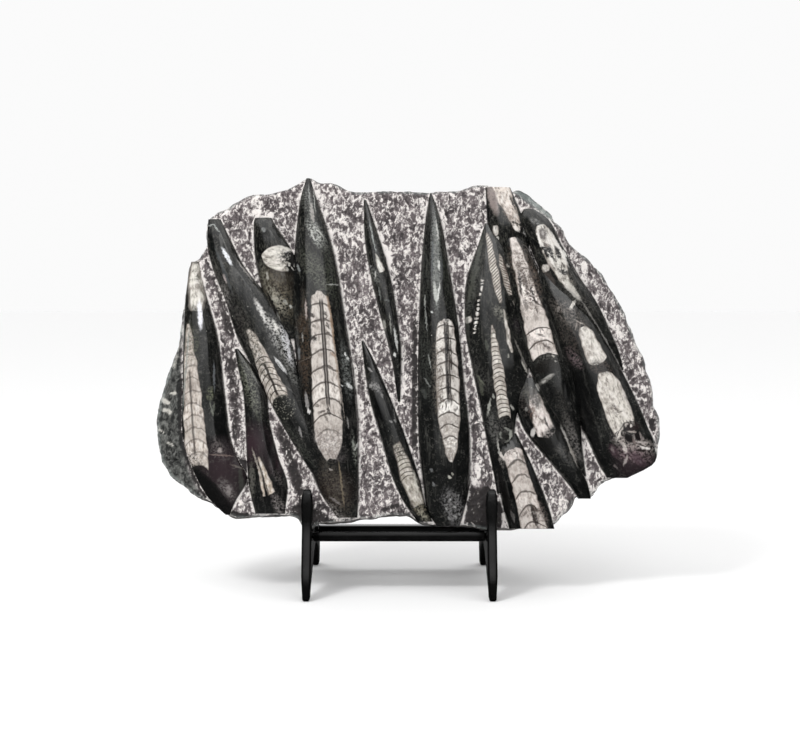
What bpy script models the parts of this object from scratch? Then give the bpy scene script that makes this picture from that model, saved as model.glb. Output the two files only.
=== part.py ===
"""Carved slab of black Orthoceras limestone on a two-armed display stand.

The slab is one block of stone: a rough chiselled ground from which the polished cones of the fossils
stand out. It leans back in the slots of two side arms, which three rails and six screws hold apart.
Lengths in the tables below are in millimetres. The model itself is in metres, with +Z up, the front of
the slab towards -Y and the origin on the floor below the middle of the object.

The slab has its own frame: u runs to the right, v up along its face and w out of its front.
"""

import math

import bmesh
import bpy
from mathutils import Matrix, Vector

MM = 0.001

# Driving dimensions
LEAN = math.radians(12.0)  # how far the slab leans back
FACE_FOOT = Vector((0.0, -50.0, 52.0))  # where u = v = w = 0 lies in the world
SLAB_BACK = -27.0  # w of the sawn back
SLAB_EDGE = -9.0  # w of the widest line round the slab's broken sides
BACK_INSET = 5.0  # how much narrower the back is than that line
FRONT_INSET = 3.0  # and how much narrower the front is
ROOT_DEPTH = -5.0  # w of the cones' flat undersides, inside the stone

GAP = 0.3  # between pieces that touch
LEDGE = -4.0 - GAP  # v of the ledges that carry the slab
ARM_X = {"left": -74.0, "right": 62.5}
ARM_THICKNESS = 7.2
FOOT_THICKNESS = 5.4
FINGER_THICKNESS = 8.8
FINGER_INNER = 4.5  # w of the finger's inner face
FINGER_RADIUS = 4.75
FINGER_TOP = 21.0  # v of the centre of the finger's round top
FINGER_WIDEST = 14.0  # v where the finger is widest
UPRIGHT_DEPTH = 13.0
UPRIGHT_TOP = 144.0  # v of the centre of the upright's round top
EDGE_ROUNDING = 1.3
FRONT_TOE = -80.0
REAR_TOE = 80.0
SOLE = 12.0  # length of each flat sole

SCREW_RADIUS = 1.5
SCREW_HEAD_RADIUS = 3.0
SCREW_HEAD_HEIGHT = 1.8
SCREW_SINK = 0.2  # how far a head lies below the arm's outer face
SCREW_GRIP = 12.0  # how far a screw reaches into its rail
RAIL_ROUNDING = 1.0

# Each rail: its section along v and w, or along Z and Y for the one between the rear feet
LEDGE_RAIL_CENTRE = (-8.6, -10.0)
LEDGE_RAIL_SECTION = (6.6, 12.0)
BACK_RAIL_CENTRE = (100.0, -33.8)
BACK_RAIL_SECTION = (14.0, 9.0)
FOOT_RAIL_CENTRE = (46.0, 32.0)
FOOT_RAIL_SECTION = (9.0, 12.0)

# The slab's outline, clockwise from the left end, as (u, v)
OUTLINE = [
    (-189, 80), (-185, 102), (-179, 120), (-172, 143), (-169, 170), (-166, 195), (-155, 208), (-153, 226),
    (-145, 238), (-123, 251), (-101, 254), (-84, 261), (-76, 265.5), (-56, 261), (-37, 254), (0, 255),
    (36, 255), (60, 260), (80, 255.5), (91, 254), (109, 239), (121, 220), (141, 199), (157, 176),
    (171, 144), (181, 116), (186, 90), (190, 71), (187, 50), (170, 39.5), (151, 34), (137.5, 21),
    (126, 20), (117, 7), (100, -1), (74, -4), (58, -4), (40, -1), (14, 0), (-9, 6.5), (-34, 4), (-67, 0),
    (-71, -4), (-77, -4), (-84, 6), (-110, 6), (-133, 7), (-148, 17), (-168, 29.5), (-180, 41),
    (-187, 57),
]

# The polished cones, as rows of (v, left edge u, right edge u, crest height above the chiselled ground)
CONES = {
    "far_left": [
        (199, -164, -162, 1.5), (188, -166, -157, 4), (170, -169, -151, 7), (145, -171, -143.5, 8.5),
        (100, -170, -137, 9), (65, -168, -132, 9), (48, -163, -126, 8), (33, -156, -118, 6),
        (20, -148, -125, 4), (12, -140, -131, 1),
    ],
    "long_diagonal": [
        (231, -150, -146, 1.5), (218, -152, -137, 5.5), (195, -147, -124, 8), (170, -137, -107, 9),
        (140, -126, -94, 9), (110, -111, -83, 9), (80, -97, -70, 9), (50, -79, -56, 8), (25, -63, -45, 6),
        (6, -53, -41, 2),
    ],
    "left_band": [
        (152, -136, -132, 1), (130, -130, -120, 4), (100, -124, -108, 5), (77, -123, -104, 5.5),
        (50, -120, -96, 5.5), (28, -117, -89, 5), (8, -112, -92, 3),
    ],
    "blunt_stub": [
        (235, -116, -104, 2), (230, -118, -102, 5.5), (205, -116, -86, 8), (185, -111, -83, 8),
        (160, -99, -85, 5), (145, -93, -86, 2),
    ],
    "tall_left": [
        (264, -77, -75, 1.5), (250, -81, -70, 5), (228, -84, -62, 8.5), (200, -86, -54, 10.5),
        (165, -87, -48, 12), (110, -82.5, -39.5, 12.5), (70, -81, -36, 12), (40, -70, -36, 10.5),
        (22, -60, -36, 8), (6, -47, -38, 3),
    ],
    "slender": [
        (248, -32.5, -31.5, 1.5), (230, -32.5, -25, 4), (192, -28, -13, 6.5), (160, -21, -7.5, 7),
        (125, -12, -3.5, 5.5), (95, -6.7, -5.5, 1),
    ],
    "short_middle": [
        (138, -34, -33, 1), (125, -32, -24, 3.5), (95, -27, -11, 6), (67, -19.5, -1, 6.5),
        (32, -9.5, 11, 6.5), (14, 0, 14, 5.5), (3, 9, 17, 2),
    ],
    "tall_middle": [
        (252, 18, 19, 1.5), (235, 15, 25, 5.5), (200, 11.5, 32, 8.5), (150, 8.6, 39, 10.5),
        (105, 8, 44, 11.5), (60, 8.5, 48, 11.5), (28, 12, 47, 10), (8, 16, 43, 6.5), (0, 23, 37, 2),
    ],
    "leaf": [
        (230, 60, 62, 1), (215, 56, 70, 4), (185, 45.5, 80, 7), (153, 44, 86, 8), (120, 49.5, 92, 8),
        (90, 55, 84, 7), (60, 60, 79, 6), (35, 66, 73, 3), (23, 68, 70, 1),
    ],
    "ribbed_foot": [
        (66, 66, 83, 3), (52, 64, 90, 7), (31, 70, 99.5, 8), (10, 76, 108, 7.5), (-2, 82, 110, 3),
    ],
    "lower_right": [
        (108, 86, 97, 2), (92, 82, 105, 6), (72, 87, 116, 7.5), (46, 107, 127, 7.5), (30, 121, 134, 5.5),
        (22, 128, 137, 2.5),
    ],
    "long_right": [
        (227, 78, 84, 2), (215, 77, 90, 5), (185, 78.5, 102, 9), (155, 83.5, 112, 10.5),
        (120, 91, 121.5, 10.5), (90, 103, 127, 10), (71, 114, 130, 8.5), (46, 126, 133, 5),
        (36, 130, 134, 1.5),
    ],
    "top_right": [
        (257, 62, 74, 2), (245, 64, 81, 5), (228, 70, 90, 6), (213, 75, 92, 3.5),
    ],
    "shoulder": [
        (242, 88, 102, 2), (234, 86, 110, 6), (212, 93, 123, 9.5), (185, 105, 136, 10.5),
        (170, 116, 145, 9), (150, 140, 153, 6), (128, 154, 160.5, 3), (118, 159, 161.5, 1),
    ],
    "far_right": [
        (198, 100, 107, 2), (185, 100, 117, 5.5), (160, 107, 137, 9.5), (125, 119, 157, 11.5),
        (90, 131, 174, 12), (60, 140.5, 186, 11), (45, 146.5, 184, 8.5), (36, 150, 166, 3),
    ],
}
ARCH_STEPS = 8  # faces across a cone's crest
ARCH_FULLNESS = 2.4  # 2 is a half ellipse, more is flatter on top and steeper at the edges

BLACK_LIMESTONE = ((0.090, 0.085, 0.083, 1.0), 0.45, 0.0)
BLACK_LACQUER = ((0.010, 0.010, 0.010, 1.0), 0.30, 0.0)
BLACK_STEEL = ((0.020, 0.020, 0.020, 1.0), 0.35, 0.8)


def make_material(name, finish):
    colour, roughness, metallic = finish
    material = bpy.data.materials.new(name)
    material.use_nodes = True
    shader = material.node_tree.nodes["Principled BSDF"]
    shader.inputs["Base Color"].default_value = colour
    shader.inputs["Roughness"].default_value = roughness
    shader.inputs["Metallic"].default_value = metallic
    return material


def world_point(u, v, w):
    """The place in the world, in millimetres, of a point given in the slab's own frame."""
    up_the_face = Vector((0.0, math.sin(LEAN), math.cos(LEAN)))
    out_of_the_face = Vector((0.0, -math.cos(LEAN), math.sin(LEAN)))
    return FACE_FOOT + Vector((u, 0.0, 0.0)) + v * up_the_face + w * out_of_the_face


def side_point(v, w):
    """The same place seen from the side, as (y, z)."""
    point = world_point(0.0, v, w)
    return (point.y, point.z)


def add_object(name, bm, material):
    """Makes an object of a bmesh whose points are in millimetres in the world."""
    bmesh.ops.scale(bm, vec=(MM, MM, MM), verts=bm.verts)
    bmesh.ops.recalc_face_normals(bm, faces=bm.faces)
    bmesh.ops.triangulate(bm, faces=bm.faces)
    mesh = bpy.data.meshes.new(name)
    bm.to_mesh(mesh)
    bm.free()
    mesh.materials.append(material)
    obj = bpy.data.objects.new(name, mesh)
    bpy.context.scene.collection.objects.link(obj)
    return obj


def loft(bm, rings):
    """Joins rings of the same number of points into one closed skin with flat ends."""
    loops = [[bm.verts.new(point) for point in ring] for ring in rings]
    count = len(loops[0])
    for lower, upper in zip(loops, loops[1:]):
        for i in range(count):
            j = (i + 1) % count
            bm.faces.new((lower[i], lower[j], upper[j], upper[i]))
    bm.faces.new(loops[0])
    bm.faces.new(loops[-1])


def inset_outline(distance):
    """The outline moved inwards by the same distance all round."""
    moved = []
    count = len(OUTLINE)
    for i in range(count):
        before = Vector(OUTLINE[i - 1])
        after = Vector(OUTLINE[(i + 1) % count])
        along = (after - before).normalized()
        inwards = Vector((along.y, -along.x))
        moved.append(Vector(OUTLINE[i]) + distance * inwards)
    return moved


def slab_ring(inset, w):
    return [world_point(point.x, point.y, w) for point in inset_outline(inset)]


def cone_ring(v, left, right, crest):
    """A cone's section at one height: an arch over the ground, on a flat underside in the stone."""
    middle = (left + right) / 2
    half_width = (right - left) / 2
    ring = [world_point(right, v, ROOT_DEPTH), world_point(left, v, ROOT_DEPTH)]
    for step in range(ARCH_STEPS + 1):
        across = -math.cos(math.pi * step / ARCH_STEPS)
        rise = (1.0 - abs(across) ** ARCH_FULLNESS) ** (1.0 / ARCH_FULLNESS)
        ring.append(world_point(middle + half_width * across, v, crest * rise))
    return ring


def cut_or_join(target, tool, operation, solver="EXACT"):
    """Applies one Boolean to the target and removes the tool."""
    modifier = target.modifiers.new("shape", "BOOLEAN")
    modifier.operation = operation
    modifier.solver = solver
    modifier.object = tool
    graph = bpy.context.evaluated_depsgraph_get()
    shaped = bpy.data.meshes.new_from_object(target.evaluated_get(graph))
    target.modifiers.remove(modifier)
    target.data = shaped
    bpy.data.objects.remove(tool)


def build_slab(stone):
    bm = bmesh.new()
    loft(bm, [slab_ring(BACK_INSET, SLAB_BACK), slab_ring(0.0, SLAB_EDGE), slab_ring(FRONT_INSET, 0.0)])
    slab = add_object("fossil_slab", bm, stone)
    for name, rows in CONES.items():
        bm = bmesh.new()
        loft(bm, [cone_ring(*row) for row in rows])
        cut_or_join(slab, add_object(name, bm, stone), "UNION", "MANIFOLD")
    return slab


def bezier(start, start_pull, end_pull, end, steps):
    """Points along a cubic curve, without its first one."""
    points = []
    for step in range(1, steps + 1):
        t = step / steps
        weights = ((1 - t) ** 3, 3 * t * (1 - t) ** 2, 3 * t * t * (1 - t), t**3)
        pairs = (start, start_pull, end_pull, end)
        y = sum(weight * pair[0] for weight, pair in zip(weights, pairs))
        z = sum(weight * pair[1] for weight, pair in zip(weights, pairs))
        points.append((y, z))
    return points


def round_top(v, w, radius, steps):
    """Half a circle over (v, w), from its back, at smaller w, to its front."""
    points = []
    for step in range(steps + 1):
        angle = math.pi * (1.0 - step / steps)
        points.append(side_point(v + radius * math.sin(angle), w + radius * math.cos(angle)))
    return points


def arm_profile():
    """The arm seen from the side, as a closed line of (y, z)."""
    back = SLAB_BACK - GAP
    upright_middle = back - UPRIGHT_DEPTH / 2
    heel = side_point(95.0, back - UPRIGHT_DEPTH)
    heel_pull = side_point(50.0, back - UPRIGHT_DEPTH)
    finger_front = FINGER_INNER + 2 * FINGER_RADIUS
    shin = side_point(4.0, finger_front)
    shin_pull = side_point(-22.0, finger_front)
    front_arch = (FRONT_TOE + SOLE, 0.0)
    rear_arch = (REAR_TOE - SOLE, 0.0)

    line = [side_point(LEDGE, back), side_point(LEDGE, FINGER_INNER), side_point(FINGER_WIDEST, FINGER_INNER)]
    line += round_top(FINGER_TOP, FINGER_INNER + FINGER_RADIUS, FINGER_RADIUS, 8)
    line += [side_point(FINGER_WIDEST, finger_front), shin]
    line += bezier(shin, shin_pull, (FRONT_TOE + 3.0, 24.0), (FRONT_TOE, 1.5), 8)
    line += [(FRONT_TOE + 1.5, 0.0), front_arch]
    line += bezier(front_arch, (-36.0, 44.0), (50.0, 34.0), rear_arch, 14)
    line += [(REAR_TOE - 1.5, 0.0), (REAR_TOE, 1.5)]
    line += bezier((REAR_TOE, 1.5), (60.0, 40.0), heel_pull, heel, 12)
    line += round_top(UPRIGHT_TOP, upright_middle, UPRIGHT_DEPTH / 2, 8)
    return line


def ease(value):
    """0 below 0, 1 above 1 and a smooth step between."""
    value = min(max(value, 0.0), 1.0)
    return value * value * (3.0 - 2.0 * value)


def arm_thickness(y, z):
    """The arm is thinner at its feet and swells to a leaf shape at its finger."""
    taper_height = 20.0
    leaf_above = 12.5
    leaf_below = 18.0
    offset = Vector((0.0, y, z)) - FACE_FOOT
    v = offset.y * math.sin(LEAN) + offset.z * math.cos(LEAN)
    w = -offset.y * math.cos(LEAN) + offset.z * math.sin(LEAN)
    thickness = FOOT_THICKNESS + (ARM_THICKNESS - FOOT_THICKNESS) * ease(z / taper_height)
    in_finger = ease((w - 1.0) / 3.0)
    if v > FINGER_WIDEST:
        reach = min((v - FINGER_WIDEST) / leaf_above, 1.0)
        leaf = FINGER_THICKNESS * (1.0 - 0.45 * reach**2)
        return thickness + in_finger * (leaf - thickness)
    reach = (FINGER_WIDEST - v) / leaf_below
    return thickness + in_finger * (FINGER_THICKNESS - thickness) * (1.0 - ease(reach))


def build_arm(side, lacquer):
    bm = bmesh.new()
    profile = arm_profile()
    flat = [bm.verts.new((0.5, y, z)) for y, z in profile]
    face = bm.faces.new(flat)
    swept = bmesh.ops.extrude_face_region(bm, geom=[face])
    moved = [item for item in swept["geom"] if isinstance(item, bmesh.types.BMVert)]
    bmesh.ops.translate(bm, verts=moved, vec=(-1.0, 0.0, 0.0))
    for vert in bm.verts:
        vert.co.x *= arm_thickness(vert.co.y, vert.co.z)
    rims = [edge for edge in bm.edges if abs(edge.verts[0].co.x + edge.verts[1].co.x) > 0.1]
    bmesh.ops.bevel(bm, geom=rims, offset=EDGE_ROUNDING, segments=2, profile=0.5, affect="EDGES")
    bmesh.ops.translate(bm, verts=bm.verts, vec=(ARM_X[side], 0.0, 0.0))
    return add_object(f"stand_arm_{side}", bm, lacquer)


def inner_face(side):
    """X of the face of an arm that looks at the other arm."""
    inwards = 1.0 if side == "left" else -1.0
    return ARM_X[side] + inwards * ARM_THICKNESS / 2


def build_rail(name, centre, section, tilt, lacquer):
    """A bar between the arms. Its section is given along its own upright and its own depth."""
    start = inner_face("left") + GAP
    end = inner_face("right") - GAP
    height, depth = section
    bm = bmesh.new()
    bmesh.ops.create_cube(bm, size=1.0)
    bmesh.ops.scale(bm, vec=(end - start, depth, height), verts=bm.verts)
    long_edges = [e for e in bm.edges if abs(e.verts[0].co.x - e.verts[1].co.x) > 1.0]
    bmesh.ops.bevel(bm, geom=long_edges, offset=RAIL_ROUNDING, segments=2, profile=0.5, affect="EDGES")
    bmesh.ops.rotate(bm, verts=bm.verts, matrix=Matrix.Rotation(-tilt, 3, "X"))
    bmesh.ops.translate(bm, verts=bm.verts, vec=((start + end) / 2, *centre))
    return add_object(name, bm, lacquer)


def turn_about_x(bm, profile, start, inwards, centre, steps):
    """Turns a profile of (distance from start, radius) about an axis along X."""
    rings = []
    for distance, radius in profile:
        x = start + inwards * distance
        ring = []
        for step in range(steps):
            angle = 2 * math.pi * step / steps
            ring.append((x, centre[0] + radius * math.cos(angle), centre[1] + radius * math.sin(angle)))
        rings.append(ring)
    loft(bm, rings)


def drill(target, start, inwards, profile, centre, steel):
    """A stepped hole, from a profile of (distance from start, radius)."""
    bm = bmesh.new()
    turn_about_x(bm, profile, start, inwards, centre, 16)
    cut_or_join(target, add_object("drill", bm, steel), "DIFFERENCE")


def outer_face(side):
    """X of the face of an arm that looks away from the other arm."""
    outwards = -1.0 if side == "left" else 1.0
    return ARM_X[side] + outwards * ARM_THICKNESS / 2


def build_screw(name, side, centre, steel):
    """A flush screw, driven from outside through an arm into the end of a rail."""
    inwards = 1.0 if side == "left" else -1.0
    length = ARM_THICKNESS - SCREW_SINK + GAP + SCREW_GRIP
    profile = [
        (0.0, 0.85 * SCREW_HEAD_RADIUS),
        (0.25 * SCREW_HEAD_HEIGHT, SCREW_HEAD_RADIUS),
        (SCREW_HEAD_HEIGHT, SCREW_HEAD_RADIUS),
        (SCREW_HEAD_HEIGHT, SCREW_RADIUS),
        (length - 2.0, SCREW_RADIUS),
        (length, 0.4 * SCREW_RADIUS),
    ]
    bm = bmesh.new()
    turn_about_x(bm, profile, outer_face(side) + inwards * SCREW_SINK, inwards, centre, 16)
    return add_object(name, bm, steel)


def build_stand(lacquer, steel):
    arms = {side: build_arm(side, lacquer) for side in ARM_X}
    rails = {
        "ledge": (side_point(*LEDGE_RAIL_CENTRE), LEDGE_RAIL_SECTION, LEAN),
        "back": (side_point(*BACK_RAIL_CENTRE), BACK_RAIL_SECTION, LEAN),
        "foot": (FOOT_RAIL_CENTRE, FOOT_RAIL_SECTION, 0.0),
    }
    margin = 1.0
    head_depth = margin + SCREW_SINK + SCREW_HEAD_HEIGHT + GAP
    through = ARM_THICKNESS + 2 * margin
    head_hole = SCREW_HEAD_RADIUS + GAP
    shank_hole = SCREW_RADIUS + GAP
    arm_hole = [(0.0, head_hole), (head_depth, head_hole), (head_depth, shank_hole), (through, shank_hole)]
    rail_hole = [(0.0, shank_hole), (SCREW_GRIP + 2 * margin, shank_hole)]
    for name, (centre, section, tilt) in rails.items():
        rail = build_rail(f"{name}_rail", centre, section, tilt, lacquer)
        for side, arm in arms.items():
            inwards = 1.0 if side == "left" else -1.0
            drill(arm, outer_face(side) - inwards * margin, inwards, arm_hole, centre, steel)
            drill(rail, inner_face(side), inwards, rail_hole, centre, steel)
            build_screw(f"screw_{name}_{side}", side, centre, steel)
        shade(rail)
    for arm in arms.values():
        shade(arm)


def shade(obj):
    """Smooth over the rounded edges and sharp at the corners."""
    obj.data.shade_smooth()
    obj.data.set_sharp_from_angle(angle=math.radians(35.0))


for leftover in list(bpy.data.objects):
    bpy.data.objects.remove(leftover)

limestone = make_material("black_orthoceras_limestone", BLACK_LIMESTONE)
lacquered_wood = make_material("black_lacquered_wood", BLACK_LACQUER)
blackened_steel = make_material("blackened_steel", BLACK_STEEL)
shade(build_slab(limestone))
build_stand(lacquered_wood, blackened_steel)
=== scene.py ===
import math

import bpy
import numpy as np
from mathutils import Matrix, Vector, noise


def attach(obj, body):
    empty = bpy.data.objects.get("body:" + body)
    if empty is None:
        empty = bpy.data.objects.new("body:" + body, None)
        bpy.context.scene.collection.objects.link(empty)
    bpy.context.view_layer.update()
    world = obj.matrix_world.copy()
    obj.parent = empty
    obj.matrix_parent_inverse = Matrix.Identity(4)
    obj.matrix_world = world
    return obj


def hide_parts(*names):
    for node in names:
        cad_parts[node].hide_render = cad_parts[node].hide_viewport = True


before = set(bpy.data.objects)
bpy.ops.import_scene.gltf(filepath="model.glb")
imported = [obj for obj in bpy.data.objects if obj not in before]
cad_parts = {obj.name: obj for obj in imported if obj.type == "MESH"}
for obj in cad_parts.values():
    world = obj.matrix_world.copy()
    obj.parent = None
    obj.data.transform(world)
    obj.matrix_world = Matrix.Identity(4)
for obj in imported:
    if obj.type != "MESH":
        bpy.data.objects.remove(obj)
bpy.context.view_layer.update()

# ---------------------------------------------------------------------------------------------------
# The camera: a plain product shot from just above the middle of the slab, straight from the front,
# with a long lens so that the tall cones stay parallel.
# ---------------------------------------------------------------------------------------------------
MM = 0.001
CAMERA_TARGET = Vector((-5.3, -25.0, 164.0)) * MM
CAMERA_DISTANCE = 1.3
CAMERA_ELEVATION = math.radians(4.0)
CAMERA_LENS = 77.6
CAMERA_SENSOR = 36.0

view_line = Vector((0.0, math.cos(CAMERA_ELEVATION), -math.sin(CAMERA_ELEVATION)))
bpy.ops.object.camera_add(location=CAMERA_TARGET - view_line * CAMERA_DISTANCE)
camera = bpy.context.object
camera.rotation_euler = view_line.to_track_quat("-Z", "Y").to_euler()
camera.data.lens = CAMERA_LENS
camera.data.sensor_width = CAMERA_SENSOR
bpy.context.scene.camera = camera

# ---------------------------------------------------------------------------------------------------
# The studio: a pale seamless floor, a white surround, one large soft light from the upper left and a
# weaker one from the right. They are no part of the object.
# ---------------------------------------------------------------------------------------------------
FLOOR_SIZE = 12.0
FLOOR_CLEARANCE = 0.0002  # metres below the feet, so that no two faces share a plane
FLOOR_COLOUR = "#fdfdfd"
FLOOR_MIRRORED = "#303030"  # painted shade in reflections: the floor as polished faces see it, darker than the pale floor the camera sees
SURROUND_COLOUR = "#fdfdfd"
SURROUND_BRIGHTNESS = 0.98  # as the camera sees it, whatever light the object gets from the room
DARKEST_WALL = 0.04


def srgb(hex_colour):
    """A hex colour as the linear values that Blender works in, with alpha."""
    channels = [int(hex_colour[i : i + 2], 16) / 255 for i in (1, 3, 5)]
    linear = [c / 12.92 if c <= 0.04045 else ((c + 0.055) / 1.055) ** 2.4 for c in channels]
    return (*linear, 1.0)


def add_node(tree, kind, inputs, **settings):
    """Adds a shader node with its settings. An input is a value, a hex colour, or what feeds it."""
    node = tree.nodes.new("ShaderNode" + kind)
    for name, value in settings.items():
        setattr(node, name, value)
    for socket, value in inputs.items():
        if isinstance(value, str):
            value = srgb(value)
        if isinstance(value, bpy.types.Node):
            value = next(output for output in value.outputs if output.enabled)
        if isinstance(value, bpy.types.NodeSocket):
            tree.links.new(value, node.inputs[socket])
        else:
            node.inputs[socket].default_value = value
    return node


def new_material(name, **sockets):
    """A Principled material whose named sockets are set, with its tree and shader node."""
    material = bpy.data.materials.new(name)
    material.use_nodes = True
    tree = material.node_tree
    shader = tree.nodes["Principled BSDF"]
    for socket, value in sockets.items():
        shader.inputs[socket.replace("_", " ")].default_value = value
    return material, tree, shader


def soft_light(name, location, size, power):
    """A square area light aimed at the middle of the slab."""
    bpy.ops.object.light_add(type="AREA", location=location)
    light = bpy.context.object
    light.name = name
    light.data.size = size
    light.data.energy = power
    aim = CAMERA_TARGET - Vector(location)
    light.rotation_euler = aim.to_track_quat("-Z", "Y").to_euler()
    return light


bpy.ops.mesh.primitive_plane_add(size=FLOOR_SIZE, location=(0.0, 0.0, -FLOOR_CLEARANCE))
floor = bpy.context.object
floor.name = "studio_floor"
floor_paper, floor_tree, floor_shader = new_material("seamless_paper", Roughness=0.9)
# Painted shade in reflections: glossy rays see the floor dark grey, while the camera sees it pale.
mirrored = add_node(floor_tree, "LightPath", {}).outputs["Is Glossy Ray"]
paper = add_node(floor_tree, "Mix", {0: mirrored, 6: FLOOR_COLOUR, 7: FLOOR_MIRRORED}, data_type="RGBA")
floor_tree.links.new(paper.outputs[2], floor_shader.inputs["Base Color"])
floor.data.materials.append(floor_paper)

key_light = soft_light("key_light", (-0.9, -1.1, 1.5), 0.4, 14.0)
key_light.visible_glossy = False  # flagged off, so that it leaves no glare on the polish
soft_light("fill_light", (0.35, -1.9, 2.1), 1.0, 4.5)
bpy.context.scene.view_settings.view_transform = "Standard"

# The room as the object sees it: a bright ceiling, a softly lit wall in front, dark walls to both sides
room = bpy.data.worlds.new("white_room")
bpy.context.scene.world = room
room.use_nodes = True
room_tree = room.node_tree
direction = add_node(room_tree, "TexCoord", {}).outputs["Generated"]
facing = add_node(room_tree, "SeparateXYZ", {0: direction})
depth, rise = facing.outputs["Y"], facing.outputs["Z"]
in_front = add_node(room_tree, "MapRange", {"Value": depth, "From Min": -0.74, "From Max": -0.92})
wall_glow = {"Value": rise, "From Min": 0.28, "From Max": 0.5, "To Min": 0.12, "To Max": 2.2}
raised = add_node(room_tree, "MapRange", wall_glow)
room_light = add_node(room_tree, "Math", {0: in_front, 1: raised}, operation="MULTIPLY")
back_wall = add_node(room_tree, "MapRange", {"Value": depth, "From Min": 0.3, "From Max": 0.75})
ceiling = add_node(room_tree, "MapRange", {"Value": rise, "From Min": 0.42, "From Max": 0.8, "To Max": 1.4})
for other_light in (back_wall, ceiling, DARKEST_WALL):
    room_light = add_node(room_tree, "Math", {0: room_light, 1: other_light}, operation="MAXIMUM")
seen_directly = add_node(room_tree, "LightPath", {}).outputs["Is Camera Ray"]
strength = add_node(room_tree, "Mix", {0: seen_directly, 2: room_light, 3: SURROUND_BRIGHTNESS})
surround = room_tree.nodes["Background"]
surround.inputs["Color"].default_value = srgb(SURROUND_COLOUR)
room_tree.links.new(strength.outputs[0], surround.inputs["Strength"])

# ---------------------------------------------------------------------------------------------------
# The slab's ground: a sawn block of black Orthoceras limestone from the Moroccan desert. Its back is
# left as the saw cut it, its sides are broken off with a hammer, and its face is worked down round the
# fossils with a pointed tool, which bruises the stone white and leaves a close pattern of pits.
# ---------------------------------------------------------------------------------------------------
# The slab has its own frame, in mm: u to the right, v up along the face, w out of the face
LEAN = math.radians(12.0)
FACE_FOOT = Vector((0.0, -50.0, 52.0))
FACE_TURN = math.pi / 2 - LEAN
SLAB_FRAME = Matrix.Translation(FACE_FOOT * MM) @ Matrix.Rotation(FACE_TURN, 4, "X") @ Matrix.Scale(MM, 4)

SLAB_BACK = -27.0  # the w of the sawn back
SLAB_EDGE = -9.0  # the w where the broken sides stand out furthest
BACK_INSET = 5.0  # how far inside the outline the back ends
GROUND_SPACING = 1.1  # mm between the points of the worked face
TOOL_MARK = 3.1  # mm from one pit to the next
PIT_DEPTH = 1.0
BORDER_DROP = 9.0  # how far the unworked border falls away on the left
CORNER_DROP = 5.0  # the same for the broken corner at the upper right
OUTLINE_STEP = 2.5  # mm between the points of the smoothed outline
RESTING_LEVEL = -3.9  # the lowest v of the underside, just clear of the stand's ledges

OUTLINE = [
    (-189, 80), (-187.5, 93), (-185, 102), (-181, 113), (-179, 120), (-175, 130), (-172, 143), (-171, 157),
    (-169, 170), (-167, 185), (-166, 195), (-163.5, 200), (-159, 202), (-155, 208), (-153, 214),
    (-153.5, 224), (-152, 232), (-145, 238), (-137, 242), (-131, 246), (-123, 251), (-115, 252.5),
    (-101, 254), (-92, 257), (-84, 261), (-79, 264.5), (-76, 265.5), (-68, 262.5), (-56, 261), (-49, 258),
    (-43, 255.5), (-37, 254), (-20, 255), (0, 255), (8, 254), (27, 255), (36, 255), (45, 257), (50, 259),
    (60, 260), (68, 258), (80, 255.5), (86, 257), (91, 254), (96, 250), (103, 244), (109, 239), (113, 232),
    (118, 228), (121, 220), (126, 212), (133, 206), (141, 199), (148, 191), (152, 183), (157, 176),
    (161, 168), (165, 160), (168, 152), (171, 144), (174, 135), (179, 127), (181, 116), (184, 108),
    (185.5, 100), (186, 90), (189.5, 81), (190, 71), (189, 61), (188, 52), (185.5, 47), (179.5, 42.5),
    (170, 39.5), (160, 37), (151, 34), (146, 30), (142, 25), (137.5, 21), (133, 20), (127, 21), (125, 18),
    (122, 12), (117, 7), (111, 1), (100, -1), (84, -3), (74, -4), (60, -4), (50, -2), (40, -1), (25, -1),
    (14, 0), (7, 3), (1, 6), (-9, 6.5), (-18, 6), (-26, 4), (-34, 4), (-45, 2), (-55, 1), (-67, 0), (-71, -4),
    (-76, -4), (-78, -1), (-82, 5), (-87, 6.5), (-98, 6.5), (-110, 6), (-119, 5), (-127, 5), (-133, 7),
    (-141, 12), (-148, 17), (-154, 19), (-161, 23), (-168, 29.5), (-176, 35), (-180, 41), (-185, 48),
    (-187, 56), (-188.5, 66),
]
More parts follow.
